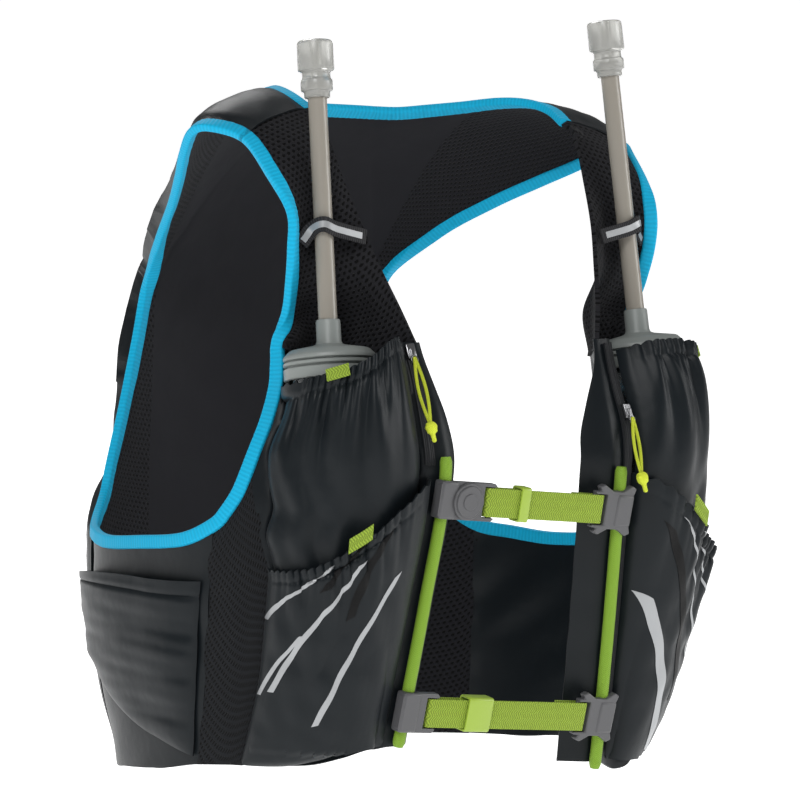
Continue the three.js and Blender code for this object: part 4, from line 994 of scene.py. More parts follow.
def back_piece(name, shell, thick, look, wrinkles):
    """Yoke and lower back as one cloth: the lining, or the padded shell outside it."""
    half = yoke(shell)
    columns = np.concatenate([half * vec(-1, 1, 1), half[:-1][::-1]])
    upper = settle(np.swapaxes(columns, 0, 1))
    first = len(YOKE)
    row, lower = upper[-1:, first:-first], settle(back_lower(shell))
    fine, wide = 8, 7
    after = 2 * upper[-1] - upper[-2]
    after[first:-first] = lower[0]
    top = refine(np.concatenate([upper, after[None]]), fine, wide)[: (len(upper) - 1) * fine + 1]
    bottom = refine(np.concatenate([upper[-2:-1, first:-first], row, lower]), fine, wide)[fine:]
    a, b = first * wide, first * wide + bottom.shape[1]
    fade = (np.linspace(1, 0, len(bottom)) ** 6)[:, None, None]
    bottom = bottom + (top[-1:, a:b] - bottom[:1]) * fade
    n_top, n_low = normals(top, (0, 40, -60)), normals(bottom, (0, 40, -220))
    n_low[0] = n_top[-1, a:b] = unit(n_low[0] + n_top[-1, a:b])
    rest = np.repeat(top[-1:], len(bottom) - 1, 0)
    n_rest = np.repeat(n_top[-1:], len(bottom) - 1, 0)
    rest[:, a:b], n_rest[:, a:b] = bottom[1:], n_low[1:]
    grid, n = np.concatenate([top, rest]), np.concatenate([n_top, n_rest])
    x, z = grid[..., 0], grid[..., 2]
    lift = wrinkles * (0.7 * waves(x + z, x * 0.4 - z, 46, 2.2) + 0.3 * waves(x, z * 1.3, 21, 0.7))
    rows, columns = np.arange(len(grid))[:, None], np.arange(grid.shape[1])[None, :]
    above = len(top) - 1 - rows + 40 * ((columns > a) & (columns < b))
    beside = np.where(rows < len(top), above, np.minimum(columns - a, b - 1 - columns))
    rim = ease((np.minimum(rows, beside) - 3) / 10)
    grid = tuck_under(grid + n * (lift * rim)[..., None], thick)
    keep = np.ones((len(grid) - 1, grid.shape[1] - 1), bool)
    keep[len(top) - 1:, :a] = False
    keep[len(top) - 1:, b - 1:] = False
    return cloth(name, grid, thick, look, keep, n)


# Tapes, bands and turned parts

def band(name, p, w, n, section, look, closed=False, sharp=40):
    """A band along points p, its section given across w and out along n."""
    section = np.asarray(section, float)
    rings = p[:, None] + w[:, None] * section[None, :, :1] + n[:, None] * section[None, :, 1:]
    return loft(name, rings, look, closed, True, sharp)


def frames(p, w, closed, side):
    """Square frames along a path: into the cloth, and out of it on the side that is asked for."""
    if closed:
        t = unit(np.roll(p, -1, 0) - np.roll(p, 1, 0))
    else:
        t = unit(np.gradient(p, axis=0))
    w = unit(w - t * np.sum(w * t, -1, keepdims=True))
    n = unit(np.cross(t, w))
    return w, -n if np.sum(n * side(p)) < 0 else n


def round_box(a0, a1, b0, b1, radius, steps=3):
    return rounded([(a0, b0), (a1, b0), (a1, b1), (a0, b1)], radius, steps)


def outward(p):
    return np.stack([p[:, 0] * 0.6, p[:, 1] - 10, 60 * ease((p[:, 2] + 60) / 50)], -1)


def tape_run(p, w, closed):
    """Points along a tape, the directions into the cloth and the directions out of it."""
    p, w = spline(p, 10, closed), spline(w, 10, closed)
    w, n = frames(p, w, closed, outward)
    return p, w, n


def bind(name, p, w, n, closed, look):
    run = np.concatenate([[0], np.cumsum(np.linalg.norm(np.diff(p, axis=0), axis=-1))])
    section = np.array(round_box(-BINDING_OUT, BINDING_IN, -BINDING_BACK, BINDING_FRONT, 1.5, 4))
    rings = p[:, None] + w[:, None] * section[None, :, :1] + n[:, None] * section[None, :, 1:]
    edge = np.clip((section[:, 0] - 2.2) / 2.2, 0, 1)
    pucker = 0.16 * np.sin(run * 2 * math.pi / 3.4)[:, None] * edge[None]
    return loft(name, rings + n[:, None] * pucker[..., None], look, closed, True, 50)


def armhole(side):
    """Run of the armhole's tape: down the strap and the front, under the arm and up the back."""
    s = side["s"]
    p, w = [], []

    def edge(a, b):
        a, b = settle(flip(a, s)), settle(flip(a + (b - a) * 0.2, s))
        p.append(a)
        w.append(unit(b - a))

    strap = strap_grid()
    for row in strap:
        edge(row[-1], row[-2])
    for z in (-123, -136, -154, -172):
        angle = mesh_front(z)
        edge(body(angle, z), body(angle - 4, z))
    for angle, fall in ((69, 33), (72, 27), (75.2, 22)):
        z = curve(ARM_LOW, angle)
        edge(body(angle, z), body(angle, z - fall))
    for angle in (84, 94, 106, 118):
        z = curve(ARM_LOW, angle)
        edge(form(angle, z), form(angle, z - 19))
    for z in (-228, -215, -200, -170, -135):
        above = z > -224
        angle = back_angle(curve(ARM_BACK, z), z) if above else BACK_SEAM
        edge(form(angle, z), form(angle + 3, z) if above else form(angle + 2, z - 6))
    half = yoke(False)
    edge(half[len(YOKE)][-1], form(back_angle(70, -112), -112))
    for i in range(len(YOKE) - 1, 0, -1):
        edge(half[i][-1], half[i][-2])
    return tape_run(np.array(p), np.array(w), True)


def neck_edge():
    half = yoke(False)
    columns = settle(np.concatenate([half * vec(-1, 1, 1), half[:-1][::-1]]))
    return tape_run(columns[:, 0], unit(columns[:, 1] - columns[:, 0]), False)


@lru_cache(maxsize=None)
def tape_runs():
    return armhole(SIDES["right"]), armhole(SIDES["left"]), neck_edge()


def tuck_under(grid, thick):
    """Keeps the edge of a cloth inside the tapes that bind it."""
    points = grid.reshape(-1, 3).copy()
    for p, w, n in tape_runs():
        far = (points**2).sum(1)[:, None] + (p**2).sum(1)[None] - 2 * points @ p.T
        k = far.argmin(1)
        near = np.sqrt(np.maximum(far.min(1), 0)) < 12
        inside = np.sum((points - p[k]) * w[k], 1)
        above = np.sum((points - p[k]) * n[k], 1)
        push = np.where(near, np.maximum(0, 1.2 - inside), 0)
        lower = np.clip(above, -0.5, BINDING_FRONT - thick - 0.5) - above
        points += w[k] * push[:, None] + n[k] * (lower * near * (1 - ease((inside - 3.5) / 6)))[:, None]
    return points.reshape(grid.shape)


def flask(side, look):
    rings = []
    turn = np.linspace(0, 2 * math.pi, 40, endpoint=False)

    def ring(centre, across, ahead, a, b):
        rings.append(centre + across * (a * np.cos(turn))[:, None] + ahead * (b * np.sin(turn))[:, None])

    _, wide, out, _ = straw_frame(side)
    ring(straw_point(side, 0, 0, -21.4), wide, out, 19.6, 19.6)
    ring(straw_point(side, 0, 0, -33.5), wide, out, 19.6, 19.6)
    shape = [(-147, 23, 18), (-175, 26, 16.5), (-260, 26, 16), (-285, 24, 13), (-298, 19, 7)]
    for h, a, b in shape:
        angle = curve(SINK_ANGLE, h)
        shift = vec(0, 0, side["lift"] * 0.5)
        at = [settle(flip(body(angle, h, -3.5 + k), side["s"])) + shift for k in (0, 3)]
        across = unit(flip(body(angle + 1, h) - body(angle - 1, h), side["s"]))
        ring(at[0], across, unit(at[1] - at[0]), a, b)
    return loft("flask_film_" + side["name"], spline(np.array(rings), 7), look, sharp=60)


def flask_tops(side, looks):
    name, valve = side["name"], side["valve"]

    def at(x, y, h):
        return straw_point(side, x, y, h)

    r, hole = CAP_RADIUS, STRAW_RADIUS + FIT
    cap = [
        (r - 2, -31), (r - 0.5, -31), (r, -30.5), (r, -25.2), (r - 0.4, -24.9), (r - 1.9, -24.7),
        (r - 1.9, -23.9), (r - 0.4, -23.7), (r, -23.4), (r, -22.1), (r - 0.4, -21.8), (r - 1.9, -21.6),
        (r - 1.9, -21), (r - 0.4, -20.8), (r, -20.5), (r, -19.2), (r - 0.5, -18.4), (20.9, -15.8),
        (20, -15.4), (9, -13.4), (7, -12.6), (6.4, -11), (6.3, -1), (5.9, 0), (hole, 0), (hole, -15),
        (19.5, -17.8), (r - 2, -20.4),
    ]
    sleeve = turned("cap_" + name, cap, 72, at, looks["flask_cap"])
    keep_piece(sleeve, "flask_cap", "flask_cap_" + name)
    low, high = -14.4, valve + 7.6
    tube = [(STRAW_BORE, low), (STRAW_RADIUS, low), (STRAW_RADIUS, 20), (STRAW_RADIUS, 60),
            (STRAW_RADIUS, high), (STRAW_BORE, high), (STRAW_BORE, 60), (STRAW_BORE, 20)]
    keep_piece(turned("tube_" + name, tube, 40, at, looks["tube"]), "clear_silicone", "straw_" + name)
    top = [
        (hole, 0), (6.3, 0), (6.7, 0.4), (6.7, 2.6), (7, 3.2), (8, 3.7), (8.3, 4.2), (8.3, 8.6), (8, 9.3),
        (7.5, 9.8), (7.3, 10.3), (7.3, 12.9), (7.8, 13.6), (9.2, 14.2), (9.5, 14.8), (9.3, 28), (9, 29),
        (8.2, 29.6), (7.2, 29.8), (3, 29.8), (2.4, 29.2), (2.4, 8.2), (hole, 8.2),
    ]
    bite = turned("valve_" + name, [(a, h + valve) for a, h in top], 56, at, looks["clear_silicone"])
    keep_piece(bite, "clear_silicone", "bite_valve_" + name)


def straw_loop(side, look, shiny):
    strap = strap_grid()

    def on(u, lift):
        upper, lower = (strap[2], strap[3]) if u > 4 else (strap[3], strap[4])
        share = 0.85 if u > 4 else 0.3
        k, f = int(u), u % 1

        def at(row):
            return mix(row[k], row[min(8, k + 1)], f)

        p = mix(at(upper), at(lower), share)
        down = unit(at(lower) - at(upper))
        out = unit(np.cross(down, mix(upper[-1], lower[-1], share) - mix(upper[0], lower[0], share)))
        return settle(flip(p + (-out if out[1] > 0 else out) * lift, side["s"]))

    def over(a, b):
        return straw_point(side, a, b, 48.5 - abs(a) * 0.4 - side["lift"])

    ends = on(6.15, STRAP_WALL + 1.8), on(0.4, STRAP_WALL + 2.6)
    p = spline(np.array([ends[0], over(6.4, 3.4), over(0, 6.8), over(-6.4, 3), ends[1]]), 14)
    down = straw_point(side, 0, 0, -1) - straw_point(side, 0, 0, 0)
    forward = np.repeat(vec(0, -1, 0)[None], len(p), 0)
    w, n = frames(p, np.repeat(down[None], len(p), 0), False, lambda q: forward)
    piece = band("straw_band_" + side["name"], p, w, n, round_box(-4, 4, 0, 1.2, 0.5), look)
    section = round_box(-1.7, 1.7, 1.1, 1.4, 0.1, 1)
    return piece, band("band_stripe_" + side["name"], p[2:-2], w[2:-2], n[2:-2], section, shiny)


def rail_point(side, z):
    return settle(flip(body(edge_angle(z) + 1.5, z, RAIL_LIFT), side["s"]))


def rail(side, look):
    z = np.linspace(side["rail_top"], side["rail_end"], 70)
    p = rail_point(side, z)
    t = unit(rail_point(side, z + 2) - rail_point(side, z - 2))
    a = unit(vec(1, 0, 0) - t * t[:, :1])
    b = np.cross(t, a)
    turn = np.linspace(0, 2 * math.pi, 28, endpoint=False)
    radius = np.full(len(z), RAIL_RADIUS)
    radius[[0, -1]] -= 0.7
    spokes = a[:, None] * np.cos(turn)[None, :, None] + b[:, None] * np.sin(turn)[None, :, None]
    rings = p[:, None] + spokes * radius[:, None, None]
    return loft("rail_braid_" + side["name"], rings, look, sharp=50)


def block(name, size, at, look, bevel=0.6):
    """A rounded block: size is low and high along a, b and c."""
    a0, a1, b0, b1, c0, c1 = size
    return plate(name, [(a0, c0), (a1, c0), (a1, c1), (a0, c1)], [], b0, b1, at, look, bevel)


def join(name, parts):
    """One mesh from several, their rounding applied."""
    deps = bpy.context.evaluated_depsgraph_get()
    bm = bmesh.new()
    for part in parts:
        bm.from_mesh(bpy.data.meshes.new_from_object(part.evaluated_get(deps)))
    mesh = bpy.data.meshes.new(name)
    bm.to_mesh(mesh)
    bm.free()
    look = parts[0].data.materials[0]
    for part in parts:
        bpy.data.objects.remove(part)
    return new_object(name, mesh, look)


def clip_frames(level):
    """Frames of the two clips of a strap, across, outward and along the rail, and their distance."""
    ends = [rail_point(SIDES[key], SIDES[key][level]) for key in ("right", "left")]
    across = ends[1] - ends[0]
    length = np.linalg.norm(across)
    out = []
    for i, key in enumerate(("right", "left")):
        e1 = across / length * (1 if i == 0 else -1)
        height = SIDES[key][level]
        run = unit(rail_point(SIDES[key], height + 6) - rail_point(SIDES[key], height - 6))
        e3 = unit(run - e1 * run.dot(e1))
        e2 = unit(np.cross(e3, e1))
        e2 = -e2 if e2[1] > 0 else e2
        out.append(lambda a, b, c, o=ends[i], x=e1, y=e2, z=e3: o + x * a + y * b + z * c)
    return out, length


def clip(name, at, reach, high, cross, look):
    """A clip on the rail that reaches towards the strap; cross gives it the slider's horns."""
    if cross:
        outline = [(-5.4, 8.4), (-6.6, 12), (-3.5, 13.4), (2, 10.2), (reach - 11, 10.2), (reach - 5, 13.4),
                   (reach - 2, 12), (reach - 3.6, 9.8), (reach, 9.6), (reach, 8.1), (reach - 8, 8.1)]
    else:
        outline = [(-6, high - 2), (-4, high), (reach - 1.5, high), (reach, high - 1.5), (reach, 8.1),
                   (reach - 8, 8.1)]
    outline += [(a, -c) for a, c in outline[::-1]]
    parts = [
        plate(name + "_plate", outline, [], 0.6, 4.8, at, look, 0.8),
        block(name + "_saddle", (-5.6, 5.6, -2.4, 5.4, -high, high), at, look, 1.4),
        block(name + "_bar", (reach - 3, reach, 0.9, 3.1, -8.6, 8.6), at, look, 0.7),
    ]
    if reach > 25:
        turn = np.linspace(0, 2 * math.pi, 48, endpoint=False)
        for k, (radius, low, top) in enumerate(((9.6, 4.5, 6.6), (8.2, 6, 7.4), (4.4, 7, 7.9))):
            ring = [(12 + radius * math.cos(t), radius * math.sin(t)) for t in turn]
            parts.append(plate(f"{name}_disc_{k}", ring, [], low, top, at, look, 0.5))
    return join(name, parts)


def ribbon(name, path, width, thick, at, look, closed=False):
    """A strap of webbing along a path of (a, b) points, its width along c."""
    soft = rounded(path, 1.2, 4)
    line = np.array(soft if closed else [path[0]] + soft[5:-5] + [path[-1]], float)
    t = unit(np.roll(line, -1, 0) - np.roll(line, 1, 0) if closed else np.gradient(line, axis=0))
    section = round_box(-width / 2, width / 2, -thick / 2, thick / 2, 0.35, 2)
    rings = [[at(a - ty * h, b + tx * h, c) for c, h in section] for (a, b), (tx, ty) in zip(line, t)]
    return loft(name, rings, look, closed, True, 50)


def tab(name, side, angle, hem_at, lift, rows, look, gap=0.0):
    """A short loop of webbing over a pocket's hem."""
    grid = []
    for up in rows:
        row = []
        for d in (-TAB_HALF, 0, TAB_HALF):
            a = along(angle, hem_at(angle), d)
            row.append(body(a, hem_at(a) + up, lift(a, hem_at(a))))
        grid.append(row)
    fine = refine(place(side, np.array(grid), gap), 7, 7)
    return cloth(name, fine, TAB_THICK, look)


def tabs(side, look):
    name, s = side["name"], side["s"]

    def upper_hem(a):
        return curve(side["hem"], a)

    def upper_lift(a, z):
        own = curve(DEPTH, z) * bulge(a, z, pocket_start(z), pocket_end(z))
        return WALL + LAYER_GAP + own + 2 + (1.7 if s > 0 else 0.8)

    def lower_hem(a):
        return curve(HEM_LOWER, mix(18.5, 57, (a - 17 - side["lower_start"]) / (44 - side["lower_start"])))

    def lower_lift(a, z):
        start, end = edge_angle(z) + side["lower_start"], along(mesh_front(z), z, -1.2)
        own = (curve(DEPTH, z) + 9.4) * bulge(a, z, start, end)
        return WALL + LAYER_GAP + own + 1 + (0.6 if s > 0 else 0.3)

    rows = [1.2, -1.4, -4.2]
    upper = tab("upper_pull_" + name, side, side["upper_tab"], upper_hem, upper_lift, rows, look, 3.4)
    keep_piece(upper, "webbing", "upper_tab_" + name)
    rows = [6, 2.4, -1.6]
    lower = tab("lower_pull_" + name, side, side["lower_tab"], lower_hem, lower_lift, rows, look)
    keep_piece(lower, "webbing", "lower_tab_" + name)


def zip_frame(side):
    z = side["slider"]
    lift = ZIP_LIFT + ZIP_THICK + 0.5

    def at(height, down):
        return settle(flip(body(zip_start(down) + 1.4, down, height), side["s"]))

    origin = at(lift, z)
    out = unit(at(lift + 5, z) - origin)
    down = at(lift, z - 5) - origin
    down = unit(down - out * down.dot(out))
    across = np.cross(down, out)
    return lambda a, b, c: origin + across * a + out * b + down * c


def zip_slider(side, look):
    at = zip_frame(side)
    name = "slider_" + side["name"]
    parts = [block(name + "_body", (-2.6, 2.6, 0, 2.2, -4, 4), at, look, 0.7),
             block(name + "_bridge", (-1.3, 1.3, 1.8, 3.4, -1, 3.4), at, look, 0.5)]
    turn = np.linspace(0, 2 * math.pi, 32, endpoint=False)
    outer = [(2.1 * math.cos(t), 5.2 + 2.6 * math.sin(t)) for t in turn]
    inner = [(1.2 * math.cos(t), 5.2 + 1.7 * math.sin(t)) for t in turn]
    parts.append(plate(name + "_eye", outer, [inner], 2.2, 3.2, at, look, 0.25))
    return join(name, parts)


def pull(side, looks, thick):
    """Two strands of cord on a zip slider, with the moulded knot at their end."""
    at = zip_frame(side)
    name = side["name"]
    low, ahead, end = side["cord"]
    outline = [(0.9, -0.6), (2.2, 0), (2.9, 1), (3.1, 2.2), (2.9, 4), (2.6, 4.9), (1.6, 5.8), (1.2, 6.6),
               (1.15, 9.8), (0.6, 10.4), (0.1, 10.4), (0.1, -0.6)]

    def around(x, y, h):
        return at(low + x * (1 + 0.08 * math.sin(h * 2 + x)), ahead + y, end + h)

    knot = turned("knot_" + name, outline, 28, around, looks["pull_cord"])
    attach(knot, "root")
    for key, shift in (("a", 1), ("b", -1)):
        t = np.linspace(0, 1, 26)
        bow = [shift * math.sin(math.pi * k) * 2.2 + low * k for k in t]
        p = np.array([at(a, mix(3.4, ahead, k), mix(4.4, end + 1, k)) for a, k in zip(bow, t)])
        line = bpy.data.curves.new(f"strand_{key}_{name}", "CURVE")
        line.dimensions = "3D"
        path = line.splines.new("POLY")
        path.points.add(len(p) - 1)
        for k, q in enumerate(p):
            path.points[k].co = (*(q / MM), 1)
        line.bevel_depth = thick / 2
        line.bevel_resolution = 4
        line.use_fill_caps = True
        line.materials.append(looks["pull_cord"])
        strand = bpy.data.objects.new(line.name, line)
        bpy.context.scene.collection.objects.link(strand)
        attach(strand, "root")
        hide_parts("zip_pull_" + name)


def stripe(name, grid, start, end, width, look):
    """A strip lying on the lower pocket, from one share of it to another."""
    n = normals(grid)
    rows, columns = grid.shape[:2]
    count = 60
    t = np.linspace(0, 1, count)
    out = []
    for k in (-1, -0.5, 0, 0.5, 1):
        a = mix(start[0], end[0], t) + start[2] * np.sin(math.pi * t) + k * width / (2 * LOWER_CLOTH[0])
        b = mix(start[1], end[1], t)
        r, c = np.clip(b, 0, 1) * (rows - 1.001), np.clip(a, 0, 1) * (columns - 1.001)
        i, j = r.astype(int), c.astype(int)
        f, g = (r - i)[:, None], (c - j)[:, None]

        def pick(table):
            return mix(mix(table[i, j], table[i, j + 1], g), mix(table[i + 1, j], table[i + 1, j + 1], g), f)

        out.append(pick(grid) + unit(pick(n)) * STRIPE_LIFT)
    return cloth(name, np.array(out), STRIPE_THICK, look)


# Settings, operators and panel

LOOKS = {}


def shade(name, description, value):
    return bpy.props.FloatVectorProperty(
        name=name, description=description, subtype="COLOR", size=3, min=0, max=1, default=value)


class VestLook(bpy.types.PropertyGroup):
    outer: shade("Outer nylon", "Colour of the fronts and pockets", (0.006, 0.0085, 0.0105))
    lining: shade("Lining", "Colour of the inside of the back", (0.012, 0.012, 0.015))
    binding: shade("Binding", "Colour of the tape on the armholes and the neck", (0.003, 0.4, 0.66))
    lime: shade("Webbing", "Colour of the front straps and tabs", (0.26, 0.37, 0.04))
    rail: shade("Rails", "Colour of the braided rails", (0.2, 0.35, 0.03))
    cord: shade("Zip cords", "Colour of the cords on the zip sliders", (0.66, 0.75, 0.05))
    hardware: shade("Hardware", "Colour of the buckle, hook and sliders", (0.085, 0.085, 0.09))


class VestSizes(bpy.types.PropertyGroup):
    gathers: bpy.props.FloatProperty(
        name="Gathers", description="Depth of the gathers at the pocket hems",
        default=0.0017, min=0, max=0.003, unit="LENGTH", precision=5)
    wrinkles: bpy.props.FloatProperty(
        name="Wrinkles", description="Depth of the wrinkles in the nylon",
        default=0.001, min=0, max=0.003, unit="LENGTH", precision=5)
    cord_thick: bpy.props.FloatProperty(
        name="Cord thickness", description="Diameter of the zip cords",
        default=0.0018, min=0.001, max=0.003, unit="LENGTH", precision=5)
    stripe_width: bpy.props.FloatProperty(
        name="Stripe width", description="Width of the pocket stripes, as a share of the real one",
        default=1.0, min=0.3, max=2, subtype="FACTOR")


def ready(context):
    """The materials, made from the settings the first time they are asked for."""
    if not LOOKS:
        LOOKS.update(make_looks(context.scene.vest_look))
    return LOOKS


def sheet(grid):
    """Measures the flat size and the area of a grid of cloth; the sizes are not returned."""
    across = np.linalg.norm(np.diff(grid, axis=1), axis=-1).sum(1)
    down = np.linalg.norm(np.diff(grid, axis=0), axis=-1).sum(0)
    a, b = grid[1:, 1:] - grid[:-1, :-1], grid[1:, :-1] - grid[:-1, 1:]
    area = float(np.linalg.norm(np.cross(a, b), axis=-1).sum() / 2) / MM**2


class VEST_OT_fronts(bpy.types.Operator):
    """Makes the front panels, the side meshes, the side panels and the shoulder straps"""
    bl_idname = "vest.fronts"
    bl_label = "Fronts and straps"

    def execute(self, context):
        looks = ready(context)
        for name, side in SIDES.items():
            for label, grid, look, node in (
                ("front", front_panel(side), "outer_nylon", "front_panel_"),
                ("mesh", side_mesh(side), "side_mesh", "side_mesh_"),
                ("side", side_panel(side), "outer_nylon", "side_panel_"),
            ):
                grid = tuck_under(grid, WALL)
                obj = cloth(f"{label}_cloth_{name}", grid, WALL, looks[look])
                keep_piece(obj, look, node + name)
                sheet(grid)
            rows = place(side, strap_grid(), STRAP_WALL + 1)
            grid = refine(rows, 12, 9)
            up, down = unit(grid[0] - grid[1]), unit(grid[-1] - grid[-2])
            tuck = normals(grid)
            first, last = grid[0] + up * 2.5 - tuck[0] * 0.8, grid[-1] + down * 2.5 - tuck[-1] * 0.8
            grid = np.concatenate([[first], grid, [last]])
            strap = cloth("strap_" + name, tuck_under(grid, STRAP_WALL), STRAP_WALL, looks["spacer_mesh"])
            keep_piece(strap, "spacer_mesh", "shoulder_strap_" + name)
        return {"FINISHED"}


class VEST_OT_pockets(bpy.types.Operator):
    """Makes the gathered front pockets, the side pockets and their stripes"""
    bl_idname = "vest.pockets"
    bl_label = "Pockets"

    def execute(self, context):
        looks, sizes = ready(context), context.scene.vest_sizes
        for name, side in SIDES.items():
            lower = lower_pocket(side, sizes)
            for label, grid, thick in (
                ("upper", upper_pocket(side, sizes), POUCH_THICK), ("lower", lower, POUCH_THICK),
                ("side", side_pocket(side, sizes), WALL),
            ):
                obj = cloth(f"{label}_pouch_{name}", grid, thick, looks["pocket_nylon"])
                keep_piece(obj, "pocket_nylon", f"{label}_pocket_{name}")
                sheet(grid)
            for k, (start, end, width, kind) in enumerate(STRIPES[name]):
                width = width * sizes.stripe_width
                obj = stripe(f"stripe_{k}_{name}", lower, start, end, width, looks[kind])
                keep_piece(obj, "reflective_elastic")
        return {"FINISHED"}


class VEST_OT_back(bpy.types.Operator):
    """Makes the lining and the outer shell of the back"""
    bl_idname = "vest.back"
    bl_label = "Back"

    def execute(self, context):
        looks, sizes = ready(context), context.scene.vest_sizes
        lining = back_piece("back_lining", False, WALL, looks["lining"], 0.5 * MM * sizes.wrinkles)
        keep_piece(lining, "lining", "back_panel")
        outer = back_piece("back_cover", True, 1, looks["outer_nylon"], 0.9 * MM * sizes.wrinkles)
        keep_piece(outer, "outer_nylon", "back_shell")
        return {"FINISHED"}


class VEST_OT_bindings(bpy.types.Operator):
    """Makes the tape round the armholes and the neck"""
    bl_idname = "vest.bindings"
    bl_label = "Bindings"

    def execute(self, context):
        looks = ready(context)
        for name, side in SIDES.items():
            tape = bind("armhole_tape_" + name, *armhole(side), True, looks["binding"])
            keep_piece(tape, "binding", "armhole_binding_" + name)
        keep_piece(bind("neck_tape", *neck_edge(), False, looks["binding"]), "binding", "neck_binding")
        return {"FINISHED"}


class VEST_OT_flasks(bpy.types.Operator):
    """Makes the soft flasks with their caps, straws, bite valves and straw loops"""
    bl_idname = "vest.flasks"
    bl_label = "Flasks and straws"

    def execute(self, context):
        looks = ready(context)
        for name, side in SIDES.items():
            keep_piece(flask(side, looks["flask_film"]), "flask_film", "flask_" + name)
            flask_tops(side, looks)
            loop, shiny = straw_loop(side, looks["reflective_elastic"], looks["reflective_tape"])
            keep_piece(loop, "reflective_elastic", "straw_loop_" + name)
            keep_piece(shiny, "reflective_elastic")
        return {"FINISHED"}


class VEST_OT_closures(bpy.types.Operator):
    """Makes the rails, the two front straps with their clips, and the pocket tabs"""
    bl_idname = "vest.closures"
    bl_label = "Rails, clips and webbing"

    def execute(self, context):
        looks = ready(context)
        for name, side in SIDES.items():
            keep_piece(rail(side, looks["rail"]), "rail", "rail_" + name)
            tabs(side, looks["webbing"])
        for level, first, reach, high, (k0, k1) in (
            ("upper", "upper_buckle", 30.5, 9.8, (46, 52)), ("lower", "lower_hook", 18, 10.5, (37, 53)),
        ):
            (right, left), length = clip_frames(level)
            body_clip = clip(first + "_body", right, reach, high, False, looks["hardware"])
            keep_piece(body_clip, "hardware", first)
            cross_clip = clip(level + "_cross", left, 20, 8.6, True, looks["hardware"])
            keep_piece(cross_clip, "hardware", level + "_slider")
            near, far = reach - 5.4, length - 14.6
            path = [(near + 22, -0.25), (near, -0.25), (near, 4.25), (far, 4.25), (far, -0.25),
                    (far - 18, -0.25)]
            strap = ribbon(level + "_strap", path, WEBBING_WIDTH, WEBBING_THICK, right, looks["webbing"])
            keep_piece(strap, "webbing", level + "_webbing")

            def across(c, b, a, at=right, middle=(k0 + k1) / 2):
                return at(middle + a, b, c)

            loop = [(-8.55, -1.9), (8.55, -1.9), (8.55, 5.85), (-8.55, 5.85)]
            keeper = ribbon(level + "_ring", loop, k1 - k0, KEEPER_THICK, across, looks["keeper"], True)
            keep_piece(keeper, "webbing", level + "_keeper")
        return {"FINISHED"}


class VEST_OT_zips(bpy.types.Operator):
    """Makes the zips of the upper pockets, their sliders and the cords on them"""
    bl_idname = "vest.zips"
    bl_label = "Zips and cords"

    def execute(self, context):
        looks, sizes = ready(context), context.scene.vest_sizes
        for name, side in SIDES.items():
            strip = cloth("zip_strip_" + name, zip_tape(side), ZIP_THICK, looks["zip_tape"])
            keep_piece(strip, "zip_tape", "zip_" + name)
            keep_piece(zip_slider(side, looks["metal"]), "metal", "zip_slider_" + name)
            pull(side, looks, sizes.cord_thick)
        return {"FINISHED"}


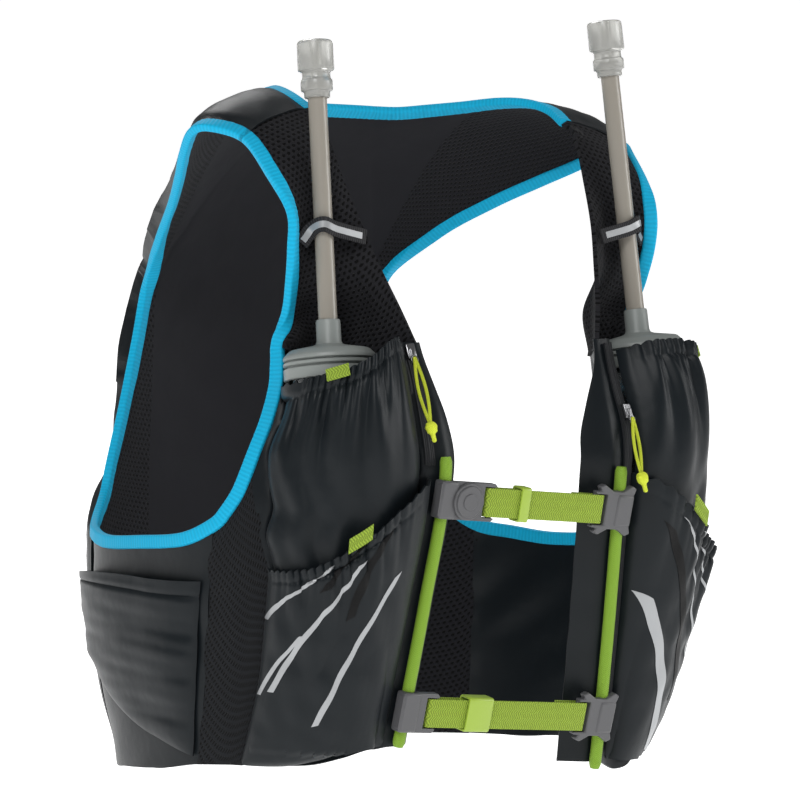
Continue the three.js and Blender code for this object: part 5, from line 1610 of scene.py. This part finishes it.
class VEST_OT_stage(bpy.types.Operator):
    """Makes the camera, the floor, the lights and the world"""
    bl_idname = "vest.stage"
    bl_label = "Camera, floor and light"

    def execute(self, context):
        scene = context.scene
        azimuth, elevation, roll = (math.radians(CAMERA[key]) for key in ("azimuth", "elevation", "roll"))
        level = math.cos(elevation)
        back = Vector((math.sin(azimuth) * level, -math.cos(azimuth) * level, math.sin(elevation)))
        right = Vector((math.cos(azimuth), math.sin(azimuth), 0))
        up = back.cross(right)
        c, s = math.cos(roll), math.sin(roll)
        right, up = right * c + up * s, up * c - right * s
        lens = bpy.data.cameras.new("camera")
        lens.lens, lens.sensor_width, lens.shift_x = CAMERA["lens"], 36, CAMERA["shift"]
        camera = bpy.data.objects.new("camera", lens)
        turn = Matrix((right, up, back)).transposed().to_4x4()
        place_at = back * CAMERA["distance"] + Vector((0, 0, CAMERA["aim"]))
        camera.matrix_world = Matrix.Translation(place_at) @ turn
        scene.collection.objects.link(camera)
        scene.camera = camera
        floor = bpy.data.meshes.new("floor")
        half, height, glow = FLOOR
        corners = [(x * half, y * half, height) for x, y in ((-1, -1), (1, -1), (1, 1), (-1, 1))]
        floor.from_pydata(corners, [], [(0, 1, 2, 3)])
        pale = hard_look("floor", (0.9, 0.9, 0.9), 0.9, 0.0, 0.01, 0.01)
        _, surface = nodes_of(pale)
        surface.inputs["Emission Color"].default_value = (1, 1, 1, 1)
        surface.inputs["Emission Strength"].default_value = glow
        ground = new_object("floor", floor, pale)
        for name, spot, size, power, target in LIGHTS:
            data = bpy.data.lights.new(name, "AREA")
            data.size, data.energy = size, power
            lamp = bpy.data.objects.new(name, data)
            lamp.location = spot
            lamp.rotation_euler = (Vector(target) - Vector(spot)).to_track_quat("-Z", "Y").to_euler()
            scene.collection.objects.link(lamp)
        world = bpy.data.worlds.new("studio")
        world.use_nodes = True
        shader = next(n for n in world.node_tree.nodes if n.type == "BACKGROUND")
        shader.inputs["Color"].default_value = (1, 1, 1, 1)
        tree = world.node_tree
        seen = tree.nodes.new("ShaderNodeLightPath")
        strength = maths(tree, "MULTIPLY_ADD", seen.outputs["Is Camera Ray"], WORLD[1], WORLD[0])
        tree.links.new(strength, shader.inputs["Strength"])
        scene.world = world
        scene.view_settings.view_transform = "Standard"
        return {"FINISHED"}


STEPS = (VEST_OT_stage, VEST_OT_zips, VEST_OT_fronts, VEST_OT_pockets, VEST_OT_back, VEST_OT_bindings,
         VEST_OT_flasks, VEST_OT_closures)


class VEST_PT_panel(bpy.types.Panel):
    """Lists the settings and the steps that make the vest"""
    bl_idname = "VEST_PT_panel"
    bl_label = "Hydration vest"
    bl_space_type = "VIEW_3D"
    bl_region_type = "UI"
    bl_category = "Vest"

    def draw(self, context):
        for settings in (context.scene.vest_look, context.scene.vest_sizes):
            for key in type(settings).__annotations__:
                self.layout.prop(settings, key)
        for step in STEPS:
            self.layout.operator(step.bl_idname)


CLASSES = (VestLook, VestSizes, *STEPS, VEST_PT_panel)


def register():
    for cls in CLASSES:
        bpy.utils.register_class(cls)
    bpy.types.Scene.vest_look = bpy.props.PointerProperty(type=VestLook)
    bpy.types.Scene.vest_sizes = bpy.props.PointerProperty(type=VestSizes)


def unregister():
    del bpy.types.Scene.vest_look
    del bpy.types.Scene.vest_sizes
    for cls in reversed(CLASSES):
        bpy.utils.unregister_class(cls)


def main():
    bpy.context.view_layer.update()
    register()
    bpy.ops.vest.stage()
    bpy.ops.vest.zips()
    bpy.ops.vest.fronts()
    bpy.ops.vest.pockets()
    bpy.ops.vest.back()
    bpy.ops.vest.bindings()
    bpy.ops.vest.flasks()
    bpy.ops.vest.closures()


if __name__ == "__main__":
    main()
